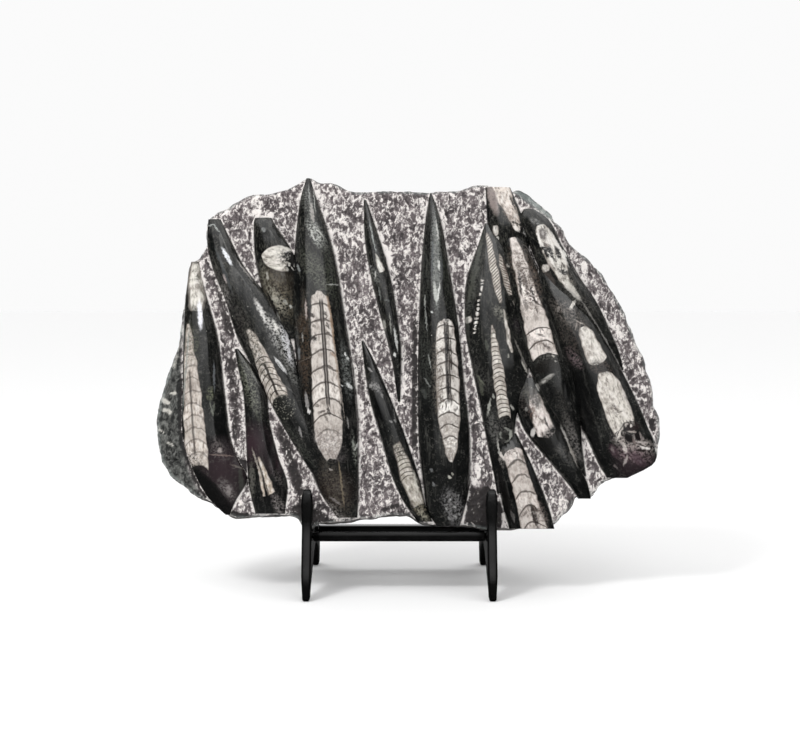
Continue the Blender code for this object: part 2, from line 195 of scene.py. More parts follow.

# Where the ground is bruised whiter (above 0) or darker (below 0): (start, end, half width, change). Some
# dark strips are painted shade, as marked below
GROUND_TONES = [
    ((-155, 190), (-150, 165), 1.6, 1), ((-150, 165), (-144, 141), 1.6, 1),
    ((-144, 141), (-137, 106), 1.6, 1), ((-137, 106), (-133.5, 58), 1.4, 1),
    ((-146, 198), (-134, 146), 3.6, -0.8), ((-133, 122), (-129, 88), 3, -0.6),
    ((-133, 78), (-134.5, 47), 1.3, 0.8), ((-125, 74), (-125.5, 50), 2.6, 0.3),
    ((-129, 84), (-128, 64), 2, -0.7), ((-124, 24), (-124.5, 6), 4, 0.5),
    ((-126.5, 49.5), (-125.5, 47), 1, -2), ((-99.5, 64), (-92, 40), 2, 0.9), ((-92, 42), (-83, 16), 2, 0.9),
    ((-94, 70), (-76, 12), 3.6, -0.9), ((-80, 9), (-52, 4), 8, -0.9), ((-68, 13), (-50, 4), 1, 1.2),
    ((-115, 237), (-105, 235.5), 3.4, 1.5), ((-115, 249), (-114.5, 242), 2.8, 1.1),
    ((-101, 252), (-94, 226), 4, 0.35), ((-69, 258), (-62, 235), 1.2, 0.9),
    ((-62, 237), (-53, 197), 1.2, 0.9), ((-53, 199), (-47, 165), 1.2, 0.9),
    ((-58, 245), (-54, 221), 4.5, 0.6), ((-50, 232), (-43, 214), 3.6, 0.8),
    ((-34.5, 93), (-33.5, 57), 1.7, 0.9), ((-20.5, 220), (-14, 200), 2.6, 1.3),
    ((-14.5, 204), (-9.5, 190), 2.4, 1.3), ((-3, 132), (-2, 94), 1.8, 0.9),
    # Painted shade: the first strip here darkens the ground at the left foot of the tall middle cone.
    ((6.6, 152), (6.2, 58), 2.4, -1.2), ((-18, 11), (-7, 14), 0.9, -1.6), ((27, 242), (28, 226), 2.2, 0.9),
    ((12, 247), (13.5, 230), 2.2, 0.9), ((53, 50), (51.5, 29), 2.6, 0.8), ((50, 21), (50, -4), 8.5, -1.1),
    ((44, 21), (41, 1), 0.9, 2.2), ((58.5, 24), (58.5, -4), 4, -1.8), ((69, 236), (74, 198), 5, -2),
    ((71.6, 6.5), (72, -4), 1.8, 2.6), ((66, 12), (70, -4), 6, -1.8), ((134, 197), (135, 181), 2.6, 0.9),
    ((155, 151), (163, 141), 2, 0.8), ((86, 247), (87, 240), 2.6, 1.1), ((172, 104), (180, 101), 1.4, 1.2),
    ((184, 77), (184, 72), 2.2, -2), ((-186, 95), (-180, 92), 1, 1.8), ((-183, 87), (-178, 84), 0.8, 1.8),
    ((-178, 99), (-174, 99), 0.6, 1.6), ((-187, 72), (-184, 70), 0.5, 1.6),
    ((-180, 62), (-176, 60), 0.5, 1.4), ((-170.5, 106), (-167, 62), 3, -3),
    # Painted shade: both strips here, and the last one on the next line, darken the ground under the far-left
    # cone's lower flank.
    ((-167, 62), (-156, 34), 3.2, -2.4), ((-158, 36), (-146, 16), 2.6, -1.2),
    # The first two strips here make the ground darker in narrow gaps between cones.
    ((-122, 45), (-118, 32), 2.6, -3), ((91, 214), (100.5, 185), 2.4, -3), ((-142, 10.5), (-119, 5), 2.2, -3),
    ((78, 84), (92, 70), 1.2, 0.9), ((116, 14), (112, 3), 3, 0.8), ((104, 42), (112, 24), 3.5, 0.5),
    ((-38, 155), (-37, 95), 2.5, 0.5), ((40, 238), (46, 200), 6, 0.45), ((-131, 142), (-126, 98), 2.4, -0.4),
    ((152, 150), (170, 86), 3, -0.4), ((53, 118), (57, 58), 2.2, 0.9), ((-172, 150), (-176, 120), 2, 0.9),
]


def only_select(piece):
    """Leaves one piece selected and active, as an operator needs it."""
    bpy.ops.object.select_all(action="DESELECT")
    piece.select_set(True)
    bpy.context.view_layer.objects.active = piece


def read_points(piece):
    """The piece's points as rows of (x, y, z)."""
    points = np.empty(len(piece.data.vertices) * 3, np.float32)
    piece.data.vertices.foreach_get("co", points)
    return points.reshape(-1, 3).astype(float)


def write_points(piece, points):
    piece.data.vertices.foreach_set("co", points.astype(np.float32).ravel())
    piece.data.update()


def apply_boolean(piece, tool, operation):
    """Cuts or joins two closed meshes and removes the tool."""
    only_select(piece)
    modifier = piece.modifiers.new("boolean", "BOOLEAN")
    modifier.operation = operation
    modifier.solver = "MANIFOLD"
    modifier.material_mode = "TRANSFER"
    modifier.object = tool
    bpy.ops.object.modifier_apply(modifier=modifier.name)
    bpy.data.objects.remove(tool)


def ease(low, high, value):
    """0 where value is below low, 1 above high and a smooth step between."""
    t = np.clip((value - low) / (high - low), 0.0, 1.0)
    return t * t * (3.0 - 2.0 * t)


def noise_at(points, size, seed):
    """Smooth noise from about -1 to 1 at each point, with lumps of about that size in mm."""
    offset = Vector((seed * 17.3, seed * 5.1, seed * 9.7))
    return np.array([noise.noise(Vector(point) / size + offset) for point in points])


def distance_to_line(points, line):
    """The distance in the face from each point to a line of (u, v)."""
    nearest = np.full(len(points), 1e9)
    corners = np.array(line, float)
    for start, end in zip(corners[:-1], corners[1:]):
        along = end - start
        t = np.clip(((points[:, :2] - start) @ along) / (along @ along), 0.0, 1.0)
        gap = points[:, :2] - start - t[:, None] * along
        nearest = np.minimum(nearest, np.hypot(gap[:, 0], gap[:, 1]))
    return nearest


def curve_through(places, values, at):
    """A smooth curve through (place, value) pairs that never swings past them."""
    places = np.array(places, float)
    values = np.array(values, float)
    steps = np.diff(places)
    slopes = np.diff(values) / steps
    tangents = np.concatenate([[slopes[0]], (slopes[:-1] + slopes[1:]) / 2, [slopes[-1]]])
    turning = slopes[:-1] * slopes[1:] <= 0
    tangents[1:-1][turning] = 0.0
    index = np.clip(np.searchsorted(places, at) - 1, 0, len(steps) - 1)
    t = np.clip((at - places[index]) / steps[index], 0.0, 1.0)
    width = steps[index]
    return (
        values[index] * (1 + 2 * t) * (1 - t) ** 2
        + width * tangents[index] * t * (1 - t) ** 2
        + values[index + 1] * t * t * (3 - 2 * t)
        - width * tangents[index + 1] * t * t * (1 - t)
    )


def finished_outline():
    """The outline at even steps, as a closed line of (u, v)."""
    corners = np.array([*OUTLINE, OUTLINE[0]], float)
    lengths = np.concatenate([[0.0], np.cumsum(np.hypot(*np.diff(corners, axis=0).T))])
    count = round(lengths[-1] / OUTLINE_STEP)
    places = np.arange(count) * lengths[-1] / count
    return np.stack([curve_through(lengths, corners[:, i], places) for i in (0, 1)], axis=1)


# ---------------------------------------------------------------------------------------------------
# The fossils: straight-shelled nautiloids, each left standing as a long cone of black limestone that
# is ground and polished by hand until its calcite shell shows white, cut across its chambers. Between
# them the ground is pecked, and the slab's sides and back are left as they broke or were sawn.
# ---------------------------------------------------------------------------------------------------
# Each fossil, with its places as (u, v) and its sizes in mm:
#   rows     (v, left edge u, right edge u, crest height), from the top of the cone down
#   shells   foot and tip of the cut shell, and widths as (place from 0 at the foot to 1 at the tip, half
#            width); chamber is the spacing of its walls, bow and slant bend and tilt them, phase moves them
#            up, walled is the part of the length that has them and wall how dark they are; tube is the
#            siphuncle's (offset, start, end, radius); beads is the spacing where a shell is a row of beads;
#            tone, rim, grime and dull_foot are its colours and stains, ragged and blur its edge
#   nets     zones of fine shell debris, and one band of painted reflection: (start, end, half width, colour, strength)
#   strokes  single streaks, veins and flecks, and some painted highlights and painted shade, written in the
#   same way
#   tints    warmer patches in the stone: (middle, reach, colour)
#   bubbles, rings  shells cut straight across, frothy or thin: (middle, radius)
FOSSILS = [{
    "name": "far_left",
    "rows": [
        (199, -164, -158, 1.5), (188, -166, -156, 4), (170, -168, -151, 7), (145, -169, -143.5, 8.5),
        (100, -169, -137, 9), (65, -168, -132, 9), (48, -163, -126, 8), (34, -157, -119, 6),
        (26, -152.5, -122.5, 5), (19, -147.5, -127, 3.8), (12.5, -141, -130, 2.4), (7.5, -135.5, -132, 0.8),
    ],
    "shells": [
        {"foot": (-156.3, 43.6), "tip": (-165, 150), "widths": [(0, 8.5), (0.08, 8.8), (0.3, 8.1),
         (0.55, 6.5), (0.8, 4.2), (0.93, 2.6), (1, 0.8)], "chamber": 9.35, "bow": 0.055, "wall": 0.5,
         "tube": (-1, 0.06, 0.68, 0.45), "tone": "#d3c8be"},
        {"foot": (-158, 160), "tip": (-160.5, 199), "widths": [(0, 2), (0.15, 5.2), (0.5, 5.8), (0.8, 4.2),
         (1, 2.2)], "tone": "#d6d2c8", "ragged": 2, "blur": 1.6},
    ],
    "nets": [
        ((-163, 146), (-160.5, 122), 5.5, "#55574a", 0.85), ((-160, 198), (-153, 172), 3.5, "#77756a", 0.6),
        ((-147, 101), (-147, 93), 2.6, "#71745f", 0.8), ((-163, 52), (-154, 42), 5, "#2c2b29", 0.9),
        ((-138, 31), (-131, 19), 4.5, "#85807e", 0.7), ((-144, 62), (-137, 50), 4, "#7d7674", 0.5),
    ],
    "strokes": [
        # Painted highlight: this first white streak stands in for a glint of light on the polish.
        ((-156.5, 167), (-155, 147), 1.9, "#f4f4fa", 0.95),
        ((-158.7, 189), (-158.2, 184), 1.1, "#4a473d", 0.8),
        ((-159.5, 163), (-160.5, 151), 2.4, "#232422", 0.8),
        # Painted highlight: the first grey line here runs down the cone's left edge as a lit bevel.
        ((-163.5, 150), (-168.2, 84), 0.7, "#8b908c", 0.7), ((-145, 121), (-144, 99), 0.7, "#74777a", 0.6),
        ((-147.4, 91), (-144.6, 81), 0.7, "#7b7e74", 0.6), ((-144, 90), (-144.6, 81), 0.6, "#7b7e74", 0.5),
        # Painted shade: the two wide black strokes darken the cone's lower-left flank where it is in shadow.
        ((-164, 43), (-139, 14), 6, "#0b0b0b", 1), ((-158, 36), (-131, 9), 6.5, "#0b0b0b", 1),
        ((-139.8, 56), (-139.3, 53), 1.6, "#aba29e", 0.8), ((-147, 51.5), (-130, 50.5), 0.5, "#8a7a74", 0.6),
        ((-133.2, 28), (-132.3, 23), 2, "#8d8785", 0.7), ((-124.5, 42), (-122.5, 20), 1.8, "#43433f", 0.8),
        ((-131, 44), (-121, 41), 0.8, "#7d766f", 0.5),
    ],
    "tints": [((-137, 42), 26, "#352a2e"), ((-134, 22), 15, "#3d3537")],
}, {
    "name": "long_diagonal",
    "rows": [
        (232, -151.5, -142, 1.5), (218, -152.5, -135, 5.5), (195, -148, -123, 8), (170, -138, -103.5, 9),
        (140, -128, -88, 9), (110, -112, -81, 9), (80, -97, -70, 9), (50, -79, -56, 8), (25, -63, -45, 6),
        (6, -53, -41, 2),
    ],
    "shells": [
        {"foot": (-96.5, 95), "tip": (-119, 146), "widths": [(0, 7), (0.18, 7.6), (0.3, 7.1), (0.5, 5.9),
         (0.7, 4.8), (0.9, 3.4), (1, 2.2)], "chamber": 4.6, "bow": 0.09, "walled": (0, 0.62), "wall": 0.9,
         "tube": (0.3, 0, 0.5, 0.4), "tone": "#c6beb3", "grime": 0.34, "ragged": 1.6},
    ],
    "nets": [
        ((-114, 167), (-102, 146), 2.2, "#d3d0cc", 1), ((-103, 152), (-86, 120), 5.5, "#a3a29f", 1),
        ((-94, 147), (-87, 121), 2.6, "#dcdcde", 1), ((-103, 153), (-96, 144), 2.6, "#e2dfda", 1),
        ((-119, 146), (-106, 112), 4.6, "#45463f", 0.9), ((-92, 122), (-82, 104), 2.6, "#7f7f7b", 0.8),
        ((-145, 196), (-128, 160), 5, "#4b4947", 0.6), ((-128, 160), (-112, 128), 5, "#4f4b48", 0.6),
        ((-140, 180), (-135, 165), 3, "#8b8784", 0.6), ((-93, 76), (-70, 40), 4, "#4e504a", 0.6),
        ((-62, 22), (-48, 8), 4.5, "#807d79", 0.8),
    ],
    "strokes": [
        # Painted highlight: the first white streak here stands in for a glint of light on the polish.
        ((-139.5, 208), (-133, 196), 1.5, "#eef0f4", 0.95), ((-138.5, 188), (-136.5, 182), 1, "#b9aeab", 0.8),
        ((-128.5, 199), (-117, 184), 0.7, "#a39f9c", 0.8), ((-126, 200), (-112, 179), 0.6, "#8d8a87", 0.7),
        ((-112.5, 166), (-106, 152), 1.2, "#dddbd7", 0.8), ((-100, 150), (-97.5, 146.5), 1.3, "#e6e3de", 0.8),
        ((-91.5, 146), (-87.5, 122), 1.1, "#dcdbde", 0.7), ((-99, 124), (-90.5, 113), 1.2, "#d0d0cf", 0.9),
        ((-97.5, 121), (-92.5, 115), 0.35, "#3a3b3a", 0.8),
        ((-151.5, 226.5), (-146, 227.5), 0.6, "#a4a7a4", 0.8),
        ((-147, 227.5), (-142.5, 221.5), 0.6, "#a4a7a4", 0.8),
        ((-150, 222), (-146, 205), 1.6, "#0b0d0d", 0.9), ((-145, 208), (-132, 175), 1.3, "#55585a", 0.6),
        ((-80.5, 72), (-78.5, 65), 0.9, "#a7a4a3", 0.6), ((-78, 50), (-66, 30), 3, "#0a0b0b", 0.9),
        ((-67, 22), (-57, 11), 0.6, "#7d7b78", 0.7), ((-108, 112), (-84, 93), 0.5, "#3a3b3a", 0.6),
        ((-106, 115), (-84, 97), 0.5, "#6d6c69", 0.5),
    ],
    "bubbles": [((-92, 87), 10)],
}, {
    "name": "left_band",
    "rows": [
        (132, -130, -127, 1), (118, -127.5, -116, 3.5), (100, -123.5, -106, 5), (77, -121.5, -103, 5.5),
        (50, -120, -96, 5.5), (28, -118, -89, 5), (8, -113, -91, 3),
    ],
    "shells": [
        {"foot": (-100.6, 23), "tip": (-110.8, 50), "widths": [(0, 2.2), (0.4, 2.2), (0.8, 1.4), (1, 0.5)],
         "tone": "#cdbfae"},
        {"foot": (-105.8, 21.5), "tip": (-111, 42), "widths": [(0, 0.9), (0.5, 1.1), (1, 0.3)],
         "tone": "#cdbfae"},
    ],
    "nets": [
        ((-99, 20), (-92, 8), 3.5, "#8f8886", 0.8), ((-116, 47), (-115, 22), 2.4, "#66645d", 0.7),
        ((-124, 122), (-112, 84), 4.5, "#74766a", 0.85), ((-101, 44), (-94, 30), 2.5, "#6e6966", 0.5),
    ],
    "strokes": [
        ((-119.5, 120), (-111.5, 104), 0.6, "#80807a", 0.7),
        ((-115.5, 56), (-108.5, 36), 0.7, "#a29b92", 0.7), ((-116.5, 44), (-115.5, 24), 1.1, "#5f5d58", 0.6),
        ((-107, 70), (-97, 36), 2, "#0c0c0c", 0.8), ((-110, 44), (-103, 22), 0.7, "#1b1817", 0.8),
    ],
    "tints": [((-117, 60), 20, "#382b30"), ((-98, 45), 12, "#2d2427")],
}, {
    "name": "blunt_stub",
    "rows": [
        (233, -116, -103, 2), (229, -117, -101, 5.5), (205, -116, -86, 8), (185, -112, -83, 8),
        (160, -105, -83, 6), (140, -98, -84, 2),
    ],
    "shells": [
        {"foot": (-89, 199), "tip": (-110, 203), "widths": [(0, 8.6), (0.25, 9.7), (0.5, 9.2), (0.68, 7.9),
         (0.8, 6.2), (0.9, 4), (1, 0.8)], "tone": "#d9d5cb"},
    ],
    "nets": [
        ((-107, 188), (-88, 158), 9, "#6b6456", 0.8), ((-103, 178), (-93, 160), 4, "#a39f92", 0.7),
        ((-95, 206), (-85, 190), 5.5, "#131211", 1), ((-110, 196), (-104, 176), 3, "#77756a", 0.6),
    ],
    "strokes": [
        ((-93.5, 201), (-85.5, 207), 1.9, "#0f0e0e", 1), ((-92, 199.5), (-84.5, 199.5), 2.3, "#151413", 1),
        ((-91.4, 196.5), (-88, 190.6), 1.5, "#1a1918", 1), ((-86, 198), (-86.6, 190), 1.7, "#1a1918", 1),
        ((-89.8, 197), (-88.4, 195), 0.8, "#cfcdc6", 0.9), ((-87.2, 194), (-86, 192), 0.7, "#c5c3bc", 0.9),
        ((-85, 197), (-84.6, 193), 0.8, "#b9b7b0", 0.9), ((-90.6, 193.4), (-89.8, 191), 0.6, "#b9b7b0", 0.9),
        ((-97, 210), (-84, 206.5), 1, "#d5d2ca", 0.9), ((-109.3, 224), (-108.3, 221), 1.3, "#8b8d8c", 0.7),
        ((-105.8, 190), (-105, 184), 0.9, "#a9a69e", 0.8), ((-101.5, 171), (-97, 167), 2, "#a7a498", 0.7),
        ((-93, 168), (-90.5, 165.5), 1.3, "#9c9b93", 0.8),
        ((-88.5, 164.5), (-86.8, 163), 1.1, "#c2c2bb", 0.9),
        ((-98.3, 159), (-95.8, 153), 0.8, "#c6c4bd", 0.9), ((-106, 176), (-94, 148), 1.1, "#0a0a0a", 0.9),
        ((-81.5, 198), (-81, 190), 0.7, "#8d9091", 0.6),
    ],
    "tints": [((-98, 184), 17, "#39322a")],
}, {
    "name": "tall_left",
    "rows": [
        (264, -77, -74, 1.5), (250, -81, -69.5, 5), (228, -84, -61.5, 8.5), (200, -86, -54, 10.5),
        (165, -87, -48, 12), (110, -82.5, -39.5, 12.5), (70, -81, -36, 12), (40, -72, -36, 10.5),
        (22, -64, -36, 8), (5, -52, -37, 3),
    ],
    "shells": [
        {"foot": (-56.5, 46), "tip": (-66, 174), "widths": [(0, 2.5), (0.06, 6), (0.13, 8.8), (0.22, 10.2),
         (0.4, 10.4), (0.6, 9.6), (0.8, 8), (0.95, 6.6), (1, 5)], "chamber": 12.1, "bow": 0.05, "phase": -1,
         "walled": (0.17, 2), "tube": (1, 0.31, 0.97, 1), "tone": "#ddd5ce", "rim": "#9c8672",
         "dull_foot": 0.24, "ragged": 3.2, "blur": 0.5},
    ],
    "nets": [
        ((-73.5, 228), (-64, 210), 4.5, "#b4b6b0", 0.95), ((-77, 203), (-60, 176), 6.5, "#62645a", 0.8),
        ((-79, 255), (-72, 232), 4, "#73756f", 0.7), ((-62, 212), (-54, 168), 3.2, "#43463d", 0.7),
        ((-78, 168), (-75, 100), 4, "#54473c", 0.7), ((-60, 42), (-46, 8), 8, "#58524a", 0.75),
        ((-69, 18), (-50, 6), 4.5, "#a09b97", 0.7), ((-48, 132), (-43, 96), 3, "#8d908d", 0.6),
        ((-66, 66), (-50, 50), 7, "#77706f", 0.6), ((-40.5, 66), (-38, 44), 1.6, "#8e9188", 0.7),
    ],
    "strokes": [
        ((-73.2, 243), (-71, 229), 1.4, "#a7a29d", 0.7), ((-71.5, 256), (-69.5, 236), 0.5, "#b7b7b3", 0.7),
        ((-75, 258), (-74, 244), 0.5, "#a3a4a0", 0.6), ((-72.4, 221), (-70.3, 214), 0.8, "#cfd0ca", 0.8),
        ((-68.5, 223), (-63.5, 217), 0.7, "#c3c4be", 0.8),
        ((-60.5, 179.5), (-51.5, 180.5), 0.6, "#a9aaa5", 0.7),
        ((-84.5, 198), (-80.5, 160), 1.6, "#080a0b", 0.9), ((-83, 196), (-81, 190), 0.8, "#9a9d9c", 0.6),
        ((-76.3, 167), (-75.5, 154), 0.8, "#b9aca6", 0.8), ((-78.7, 143), (-78.3, 136), 0.5, "#a3a09c", 0.7),
        ((-81.2, 132), (-80.7, 124), 1, "#77797a", 0.7), ((-81, 121), (-71, 125), 0.4, "#6d655d", 0.6),
        ((-75.7, 98), (-73.8, 84), 1.2, "#989593", 0.8), ((-73.8, 85.5), (-72.6, 82), 1.1, "#dcd9d6", 0.9),
        ((-74.5, 157), (-69.3, 155), 1.5, "#231d1a", 0.9), ((-71.8, 139), (-68, 137.6), 1.7, "#1f1b19", 0.95),
        ((-70.5, 151.5), (-60.5, 152), 0.6, "#3b332e", 0.8),
        ((-64, 150.5), (-59.5, 155), 0.6, "#3b332e", 0.8),
        ((-62.4, 158.5), (-60, 155.5), 1.2, "#2b2522", 0.85),
        ((-60.5, 150), (-58.4, 146), 1.1, "#332c28", 0.85),
        ((-71, 148.5), (-68.5, 147.5), 1.1, "#57504a", 0.7),
        ((-68.2, 88.2), (-65.4, 87), 1.1, "#5e5650", 0.8), ((-66, 82), (-61, 84), 1, "#3a322f", 0.8),
        ((-59, 86), (-57.2, 80), 1.2, "#2f2826", 0.9), ((-61, 80), (-58.8, 76), 0.8, "#4a413e", 0.7),
        ((-56.6, 127), (-53.8, 125), 1.2, "#8a6f5c", 0.7), ((-59, 169), (-54, 132), 0.6, "#96806c", 0.7),
        ((-54, 132), (-46.6, 78), 0.5, "#a39a92", 0.6), ((-46.8, 128), (-45.6, 126), 0.9, "#e5e6e3", 0.9),
        ((-45, 124.5), (-43.8, 122.5), 0.9, "#dadbd8", 0.9),
        ((-44.8, 105), (-41.5, 101.5), 1.2, "#d9dad8", 0.9),
        ((-49, 103.5), (-47.8, 102.4), 0.6, "#c9cac8", 0.8), ((-44.6, 79), (-43.6, 71), 0.9, "#8f8d8a", 0.7),
        ((-51, 46), (-48.5, 30), 0.6, "#796e5c", 0.8), ((-49.3, 34), (-46.8, 14), 0.7, "#7b705f", 0.8),
        ((-58, 40.5), (-55.5, 39.5), 0.7, "#a39d97", 0.7), ((-57.5, 20), (-50, 15), 0.9, "#908a88", 0.6),
        ((-40.5, 62), (-40.3, 56), 0.8, "#a3a79e", 0.7), ((-39, 55), (-36.8, 61), 0.6, "#c9cac5", 0.8),
    ],
    "tints": [((-54, 25), 20, "#2f2825"), ((-77, 120), 10, "#2f2620"), ((-77, 150), 9, "#33281f")],
}, {
    "name": "slender",
    "rows": [
        (247, -33, -31, 1.5), (230, -33, -25, 4), (192, -28.5, -13.5, 6.5), (160, -21, -7.5, 7),
        (125, -12, -4, 5.5), (92, -7, -5, 1),
    ],
    "shells": [
        {"foot": (-18.8, 190), "tip": (-24, 204), "widths": [(0, 1), (0.25, 2.5), (0.6, 1.6), (1, 0.3)],
         "tone": "#cfd0c8"},
    ],
    "nets": [((-26, 193), (-22, 182), 2.4, "#7d7f7b", 0.8), ((-19, 156), (-9, 146), 4, "#45443f", 0.6)],
    "strokes": [
        ((-28.5, 229), (-23.5, 205), 0.5, "#9a9e9b", 0.8), ((-23.6, 191), (-24.3, 185), 0.7, "#c5c4c0", 0.8),
        ((-21.6, 179), (-19.6, 168), 0.5, "#7d807d", 0.7),
        ((-16.6, 168.4), (-13.6, 167.6), 0.9, "#5e615f", 0.7),
        ((-13.2, 158), (-12, 143), 0.5, "#8f8f89", 0.8), ((-17.7, 153.5), (-16.6, 146), 1.1, "#a3a29b", 0.85),
        ((-9.6, 147), (-7, 130), 0.8, "#c9cac7", 0.9), ((-9.6, 128.7), (-9, 125.7), 0.9, "#d5d5d2", 0.9),
        ((-28.4, 195.6), (-27.2, 194.6), 0.8, "#8b8d8b", 0.7), ((-24, 186), (-11, 184), 0.7, "#101111", 0.7),
    ],
}, {
    "name": "short_middle",
    "rows": [
        (138, -34.5, -32.5, 1), (125, -33, -25.5, 3.5), (95, -28.5, -12.5, 6), (67, -20.5, -1.5, 6.5),
        (32, -10, 10, 6.5), (14, -1, 14, 5.5), (2, 8, 19, 2),
    ],
    "shells": [
        {"foot": (8.6, 15), "tip": (-8, 60), "widths": [(0, 3.8), (0.1, 5), (0.35, 6), (0.7, 4.8), (1, 2.2)],
         "chamber": 3.2, "bow": 0.06, "walled": (0.4, 0.95), "tone": "#b9b5a8", "grime": 0.34, "ragged": 1.6,
         "blur": 0.7},
    ],
    "nets": [
        ((-10, 62), (-3, 50), 4, "#3f3e3a", 0.9), ((5, 16), (12, 9), 3.6, "#857d6c", 0.85),
        ((9, 10), (16, 2), 2.6, "#a09c8c", 0.8), ((-29, 106), (-20, 100), 2.6, "#8e8c8b", 0.8),
    ],
    "strokes": [
        ((-29.5, 117.5), (-26, 114), 0.6, "#92908f", 0.8), ((-28, 105), (-26.5, 102), 0.9, "#a09e9c", 0.8),
        ((-24.5, 105), (-20.5, 101), 0.6, "#8f8d8b", 0.7), ((-19.4, 97), (-18, 94.5), 0.9, "#7b7978", 0.8),
        ((-13, 77), (-11.4, 75.6), 0.8, "#8a8988", 0.8), ((-9.6, 78), (-8.4, 76), 0.8, "#8a8988", 0.8),
        ((-10.2, 86), (-8, 75), 0.5, "#605f5d", 0.7), ((1.5, 50), (12.5, 20), 1.5, "#0b0b0a", 0.8),
        ((5, 38), (8, 22), 1, "#dedbd0", 0.6),
    ],
}, {
    "name": "tall_middle",
    "rows": [
        (252, 17.5, 19, 1.5), (235, 14.5, 25, 5.5), (200, 11, 31.5, 8.5), (150, 8.6, 39, 10.5),
        (105, 8, 43.5, 11.5), (60, 8.5, 47.5, 11.5), (28, 12, 46.5, 10), (8, 16, 42, 6.5), (-1, 22, 39, 2),
    ],
    "shells": [
        {"foot": (32.6, 45), "tip": (28.6, 153), "widths": [(0, 0.6), (0.05, 2.8), (0.12, 4.6), (0.22, 6.4),
         (0.34, 8), (0.5, 8.5), (0.75, 8.2), (0.92, 6.8), (1, 4.6)], "chamber": 9.45, "bow": 0.05,
         "walled": (0.14, 2), "wall": 0.9, "tube": (0.6, 0.4, 1, 1.35), "tone": "#fcf8f2", "grime": 0.3,
         "dull_foot": 0.34, "ragged": 3},
    ],
    "nets": [
        ((22, 132), (24, 84), 4.2, "#6d655c", 0.9), ((21.5, 233), (22.5, 166), 3.2, "#9b9e9a", 0.9),
        ((30, 22), (40, 1), 7, "#8b8989", 0.75), ((12, 145), (18, 95), 4.5, "#3d3f3b", 0.7),
        ((11, 215), (16, 170), 3.4, "#3b3d3a", 0.7), ((26, 214), (34, 160), 3.4, "#33362f", 0.7),
        ((21, 96), (27, 91), 2.6, "#4a423c", 0.8), ((30, 72), (32, 52), 4, "#8a8276", 0.6),
    ],
    "strokes": [
        ((29.4, 150), (30.2, 119), 0.9, "#080605", 1), ((30.2, 117), (31.2, 92), 0.8, "#0a0706", 1),
        ((32.4, 141), (33.5, 112), 0.7, "#1f1916", 0.9), ((25.2, 131), (28.2, 127), 0.9, "#5a504a", 0.8),
        ((23.4, 95), (28, 90), 1.1, "#574d47", 0.8), ((22.6, 112), (23.6, 84), 1.2, "#857c74", 0.7),
        ((21.5, 232), (22.6, 165), 1.9, "#6a6c69", 0.7), ((20.6, 181), (22, 166), 1.3, "#c6c8c2", 0.85),
        ((24.8, 181), (22.8, 168), 0.7, "#dfe0db", 0.9), ((23.6, 198.5), (24.2, 191.5), 1, "#cfd0cb", 0.9),
        ((22.2, 229), (23.8, 213), 0.6, "#c6c7c2", 0.85), ((19.6, 217), (18.8, 184), 0.8, "#55585a", 0.7),
        ((25.9, 205), (26.4, 184), 0.8, "#55585a", 0.6), ((13.3, 172), (13.6, 164), 0.7, "#9b9c97", 0.8),
        ((13.4, 165), (15, 144), 0.5, "#8d8f8b", 0.8), ((18.2, 159.5), (19.2, 158), 0.7, "#c9cbc8", 0.9),
        ((15.8, 127), (18, 116), 0.6, "#8e908c", 0.8), ((12.6, 109), (17.2, 102), 0.7, "#7c7e7b", 0.8),
        ((11.5, 101), (14, 94), 1.6, "#444643", 0.8), ((17.4, 40.6), (18.6, 38.8), 0.9, "#6c6d6e", 0.8),
        ((19, 30.4), (20.2, 28), 1, "#727374", 0.8), ((30.6, 35.4), (32.4, 33.6), 1, "#b4b3a9", 0.9),
        ((33.2, 37.5), (34, 36), 0.7, "#99988f", 0.8), ((31, 23), (33, 2), 1, "#767474", 0.5),
        ((28.5, 12), (29.6, 10.5), 0.7, "#a1a09f", 0.8), ((31.8, 18.5), (32.6, 17), 0.7, "#b0afae", 0.8),
        ((35, 13.5), (36, 12), 0.7, "#a6a5a4", 0.8), ((37.6, 21.5), (38.4, 20.3), 0.6, "#929190", 0.8),
        ((34, 6.4), (37, 5), 0.7, "#a9a8a7", 0.8), ((38.6, 8), (39.8, 6.4), 0.7, "#9c9b9a", 0.8),
        ((30.5, 5), (32, 3.2), 0.7, "#9c9b9a", 0.8),
    ],
}, {
    "name": "leaf",
    "rows": [
        (229, 59.5, 62, 1), (215, 55, 72, 4), (185, 45, 82, 7), (153, 43.5, 87, 8), (120, 48.5, 92, 8),
        (90, 54.5, 84, 7), (60, 60, 79, 6), (35, 65, 73, 3), (23, 67, 70, 1),
    ],
    "shells": [
        {"foot": (70.2, 166), "tip": (60.8, 221), "widths": [(0, 0.8), (0.15, 2.2), (0.4, 3), (0.65, 2.7),
         (0.85, 1.8), (1, 0.4)], "chamber": 2.3, "slant": -0.75, "wall": 0.95, "tone": "#cfc9be"},
        {"foot": (78, 172), "tip": (69.8, 204), "widths": [(0, 1.4), (0.3, 2.4), (0.7, 1.9), (1, 0.3)],
         "chamber": 2.3, "slant": 0.75, "wall": 0.95, "tone": "#cfc9be"},
        {"foot": (72.6, 80.5), "tip": (63.6, 149), "widths": [(0, 4.6), (0.25, 4.3), (0.5, 4.1), (0.75, 3.1),
         (1, 0.5)], "chamber": 3.3, "bow": 0.11, "wall": 0.9, "tone": "#d5d0c6"},
        {"foot": (78.5, 128), "tip": (72.5, 161), "widths": [(0, 0.4), (0.3, 1.6), (0.7, 1.2), (1, 0.3)],
         "tone": "#b8b4ac"},
        {"foot": (50.3, 142.5), "tip": (57, 184), "widths": [(0, 1), (0.3, 1.5), (0.6, 1), (0.9, 1),
         (1, 1.5)], "beads": 3.7, "tone": "#e2e1dc", "ragged": 1.6},
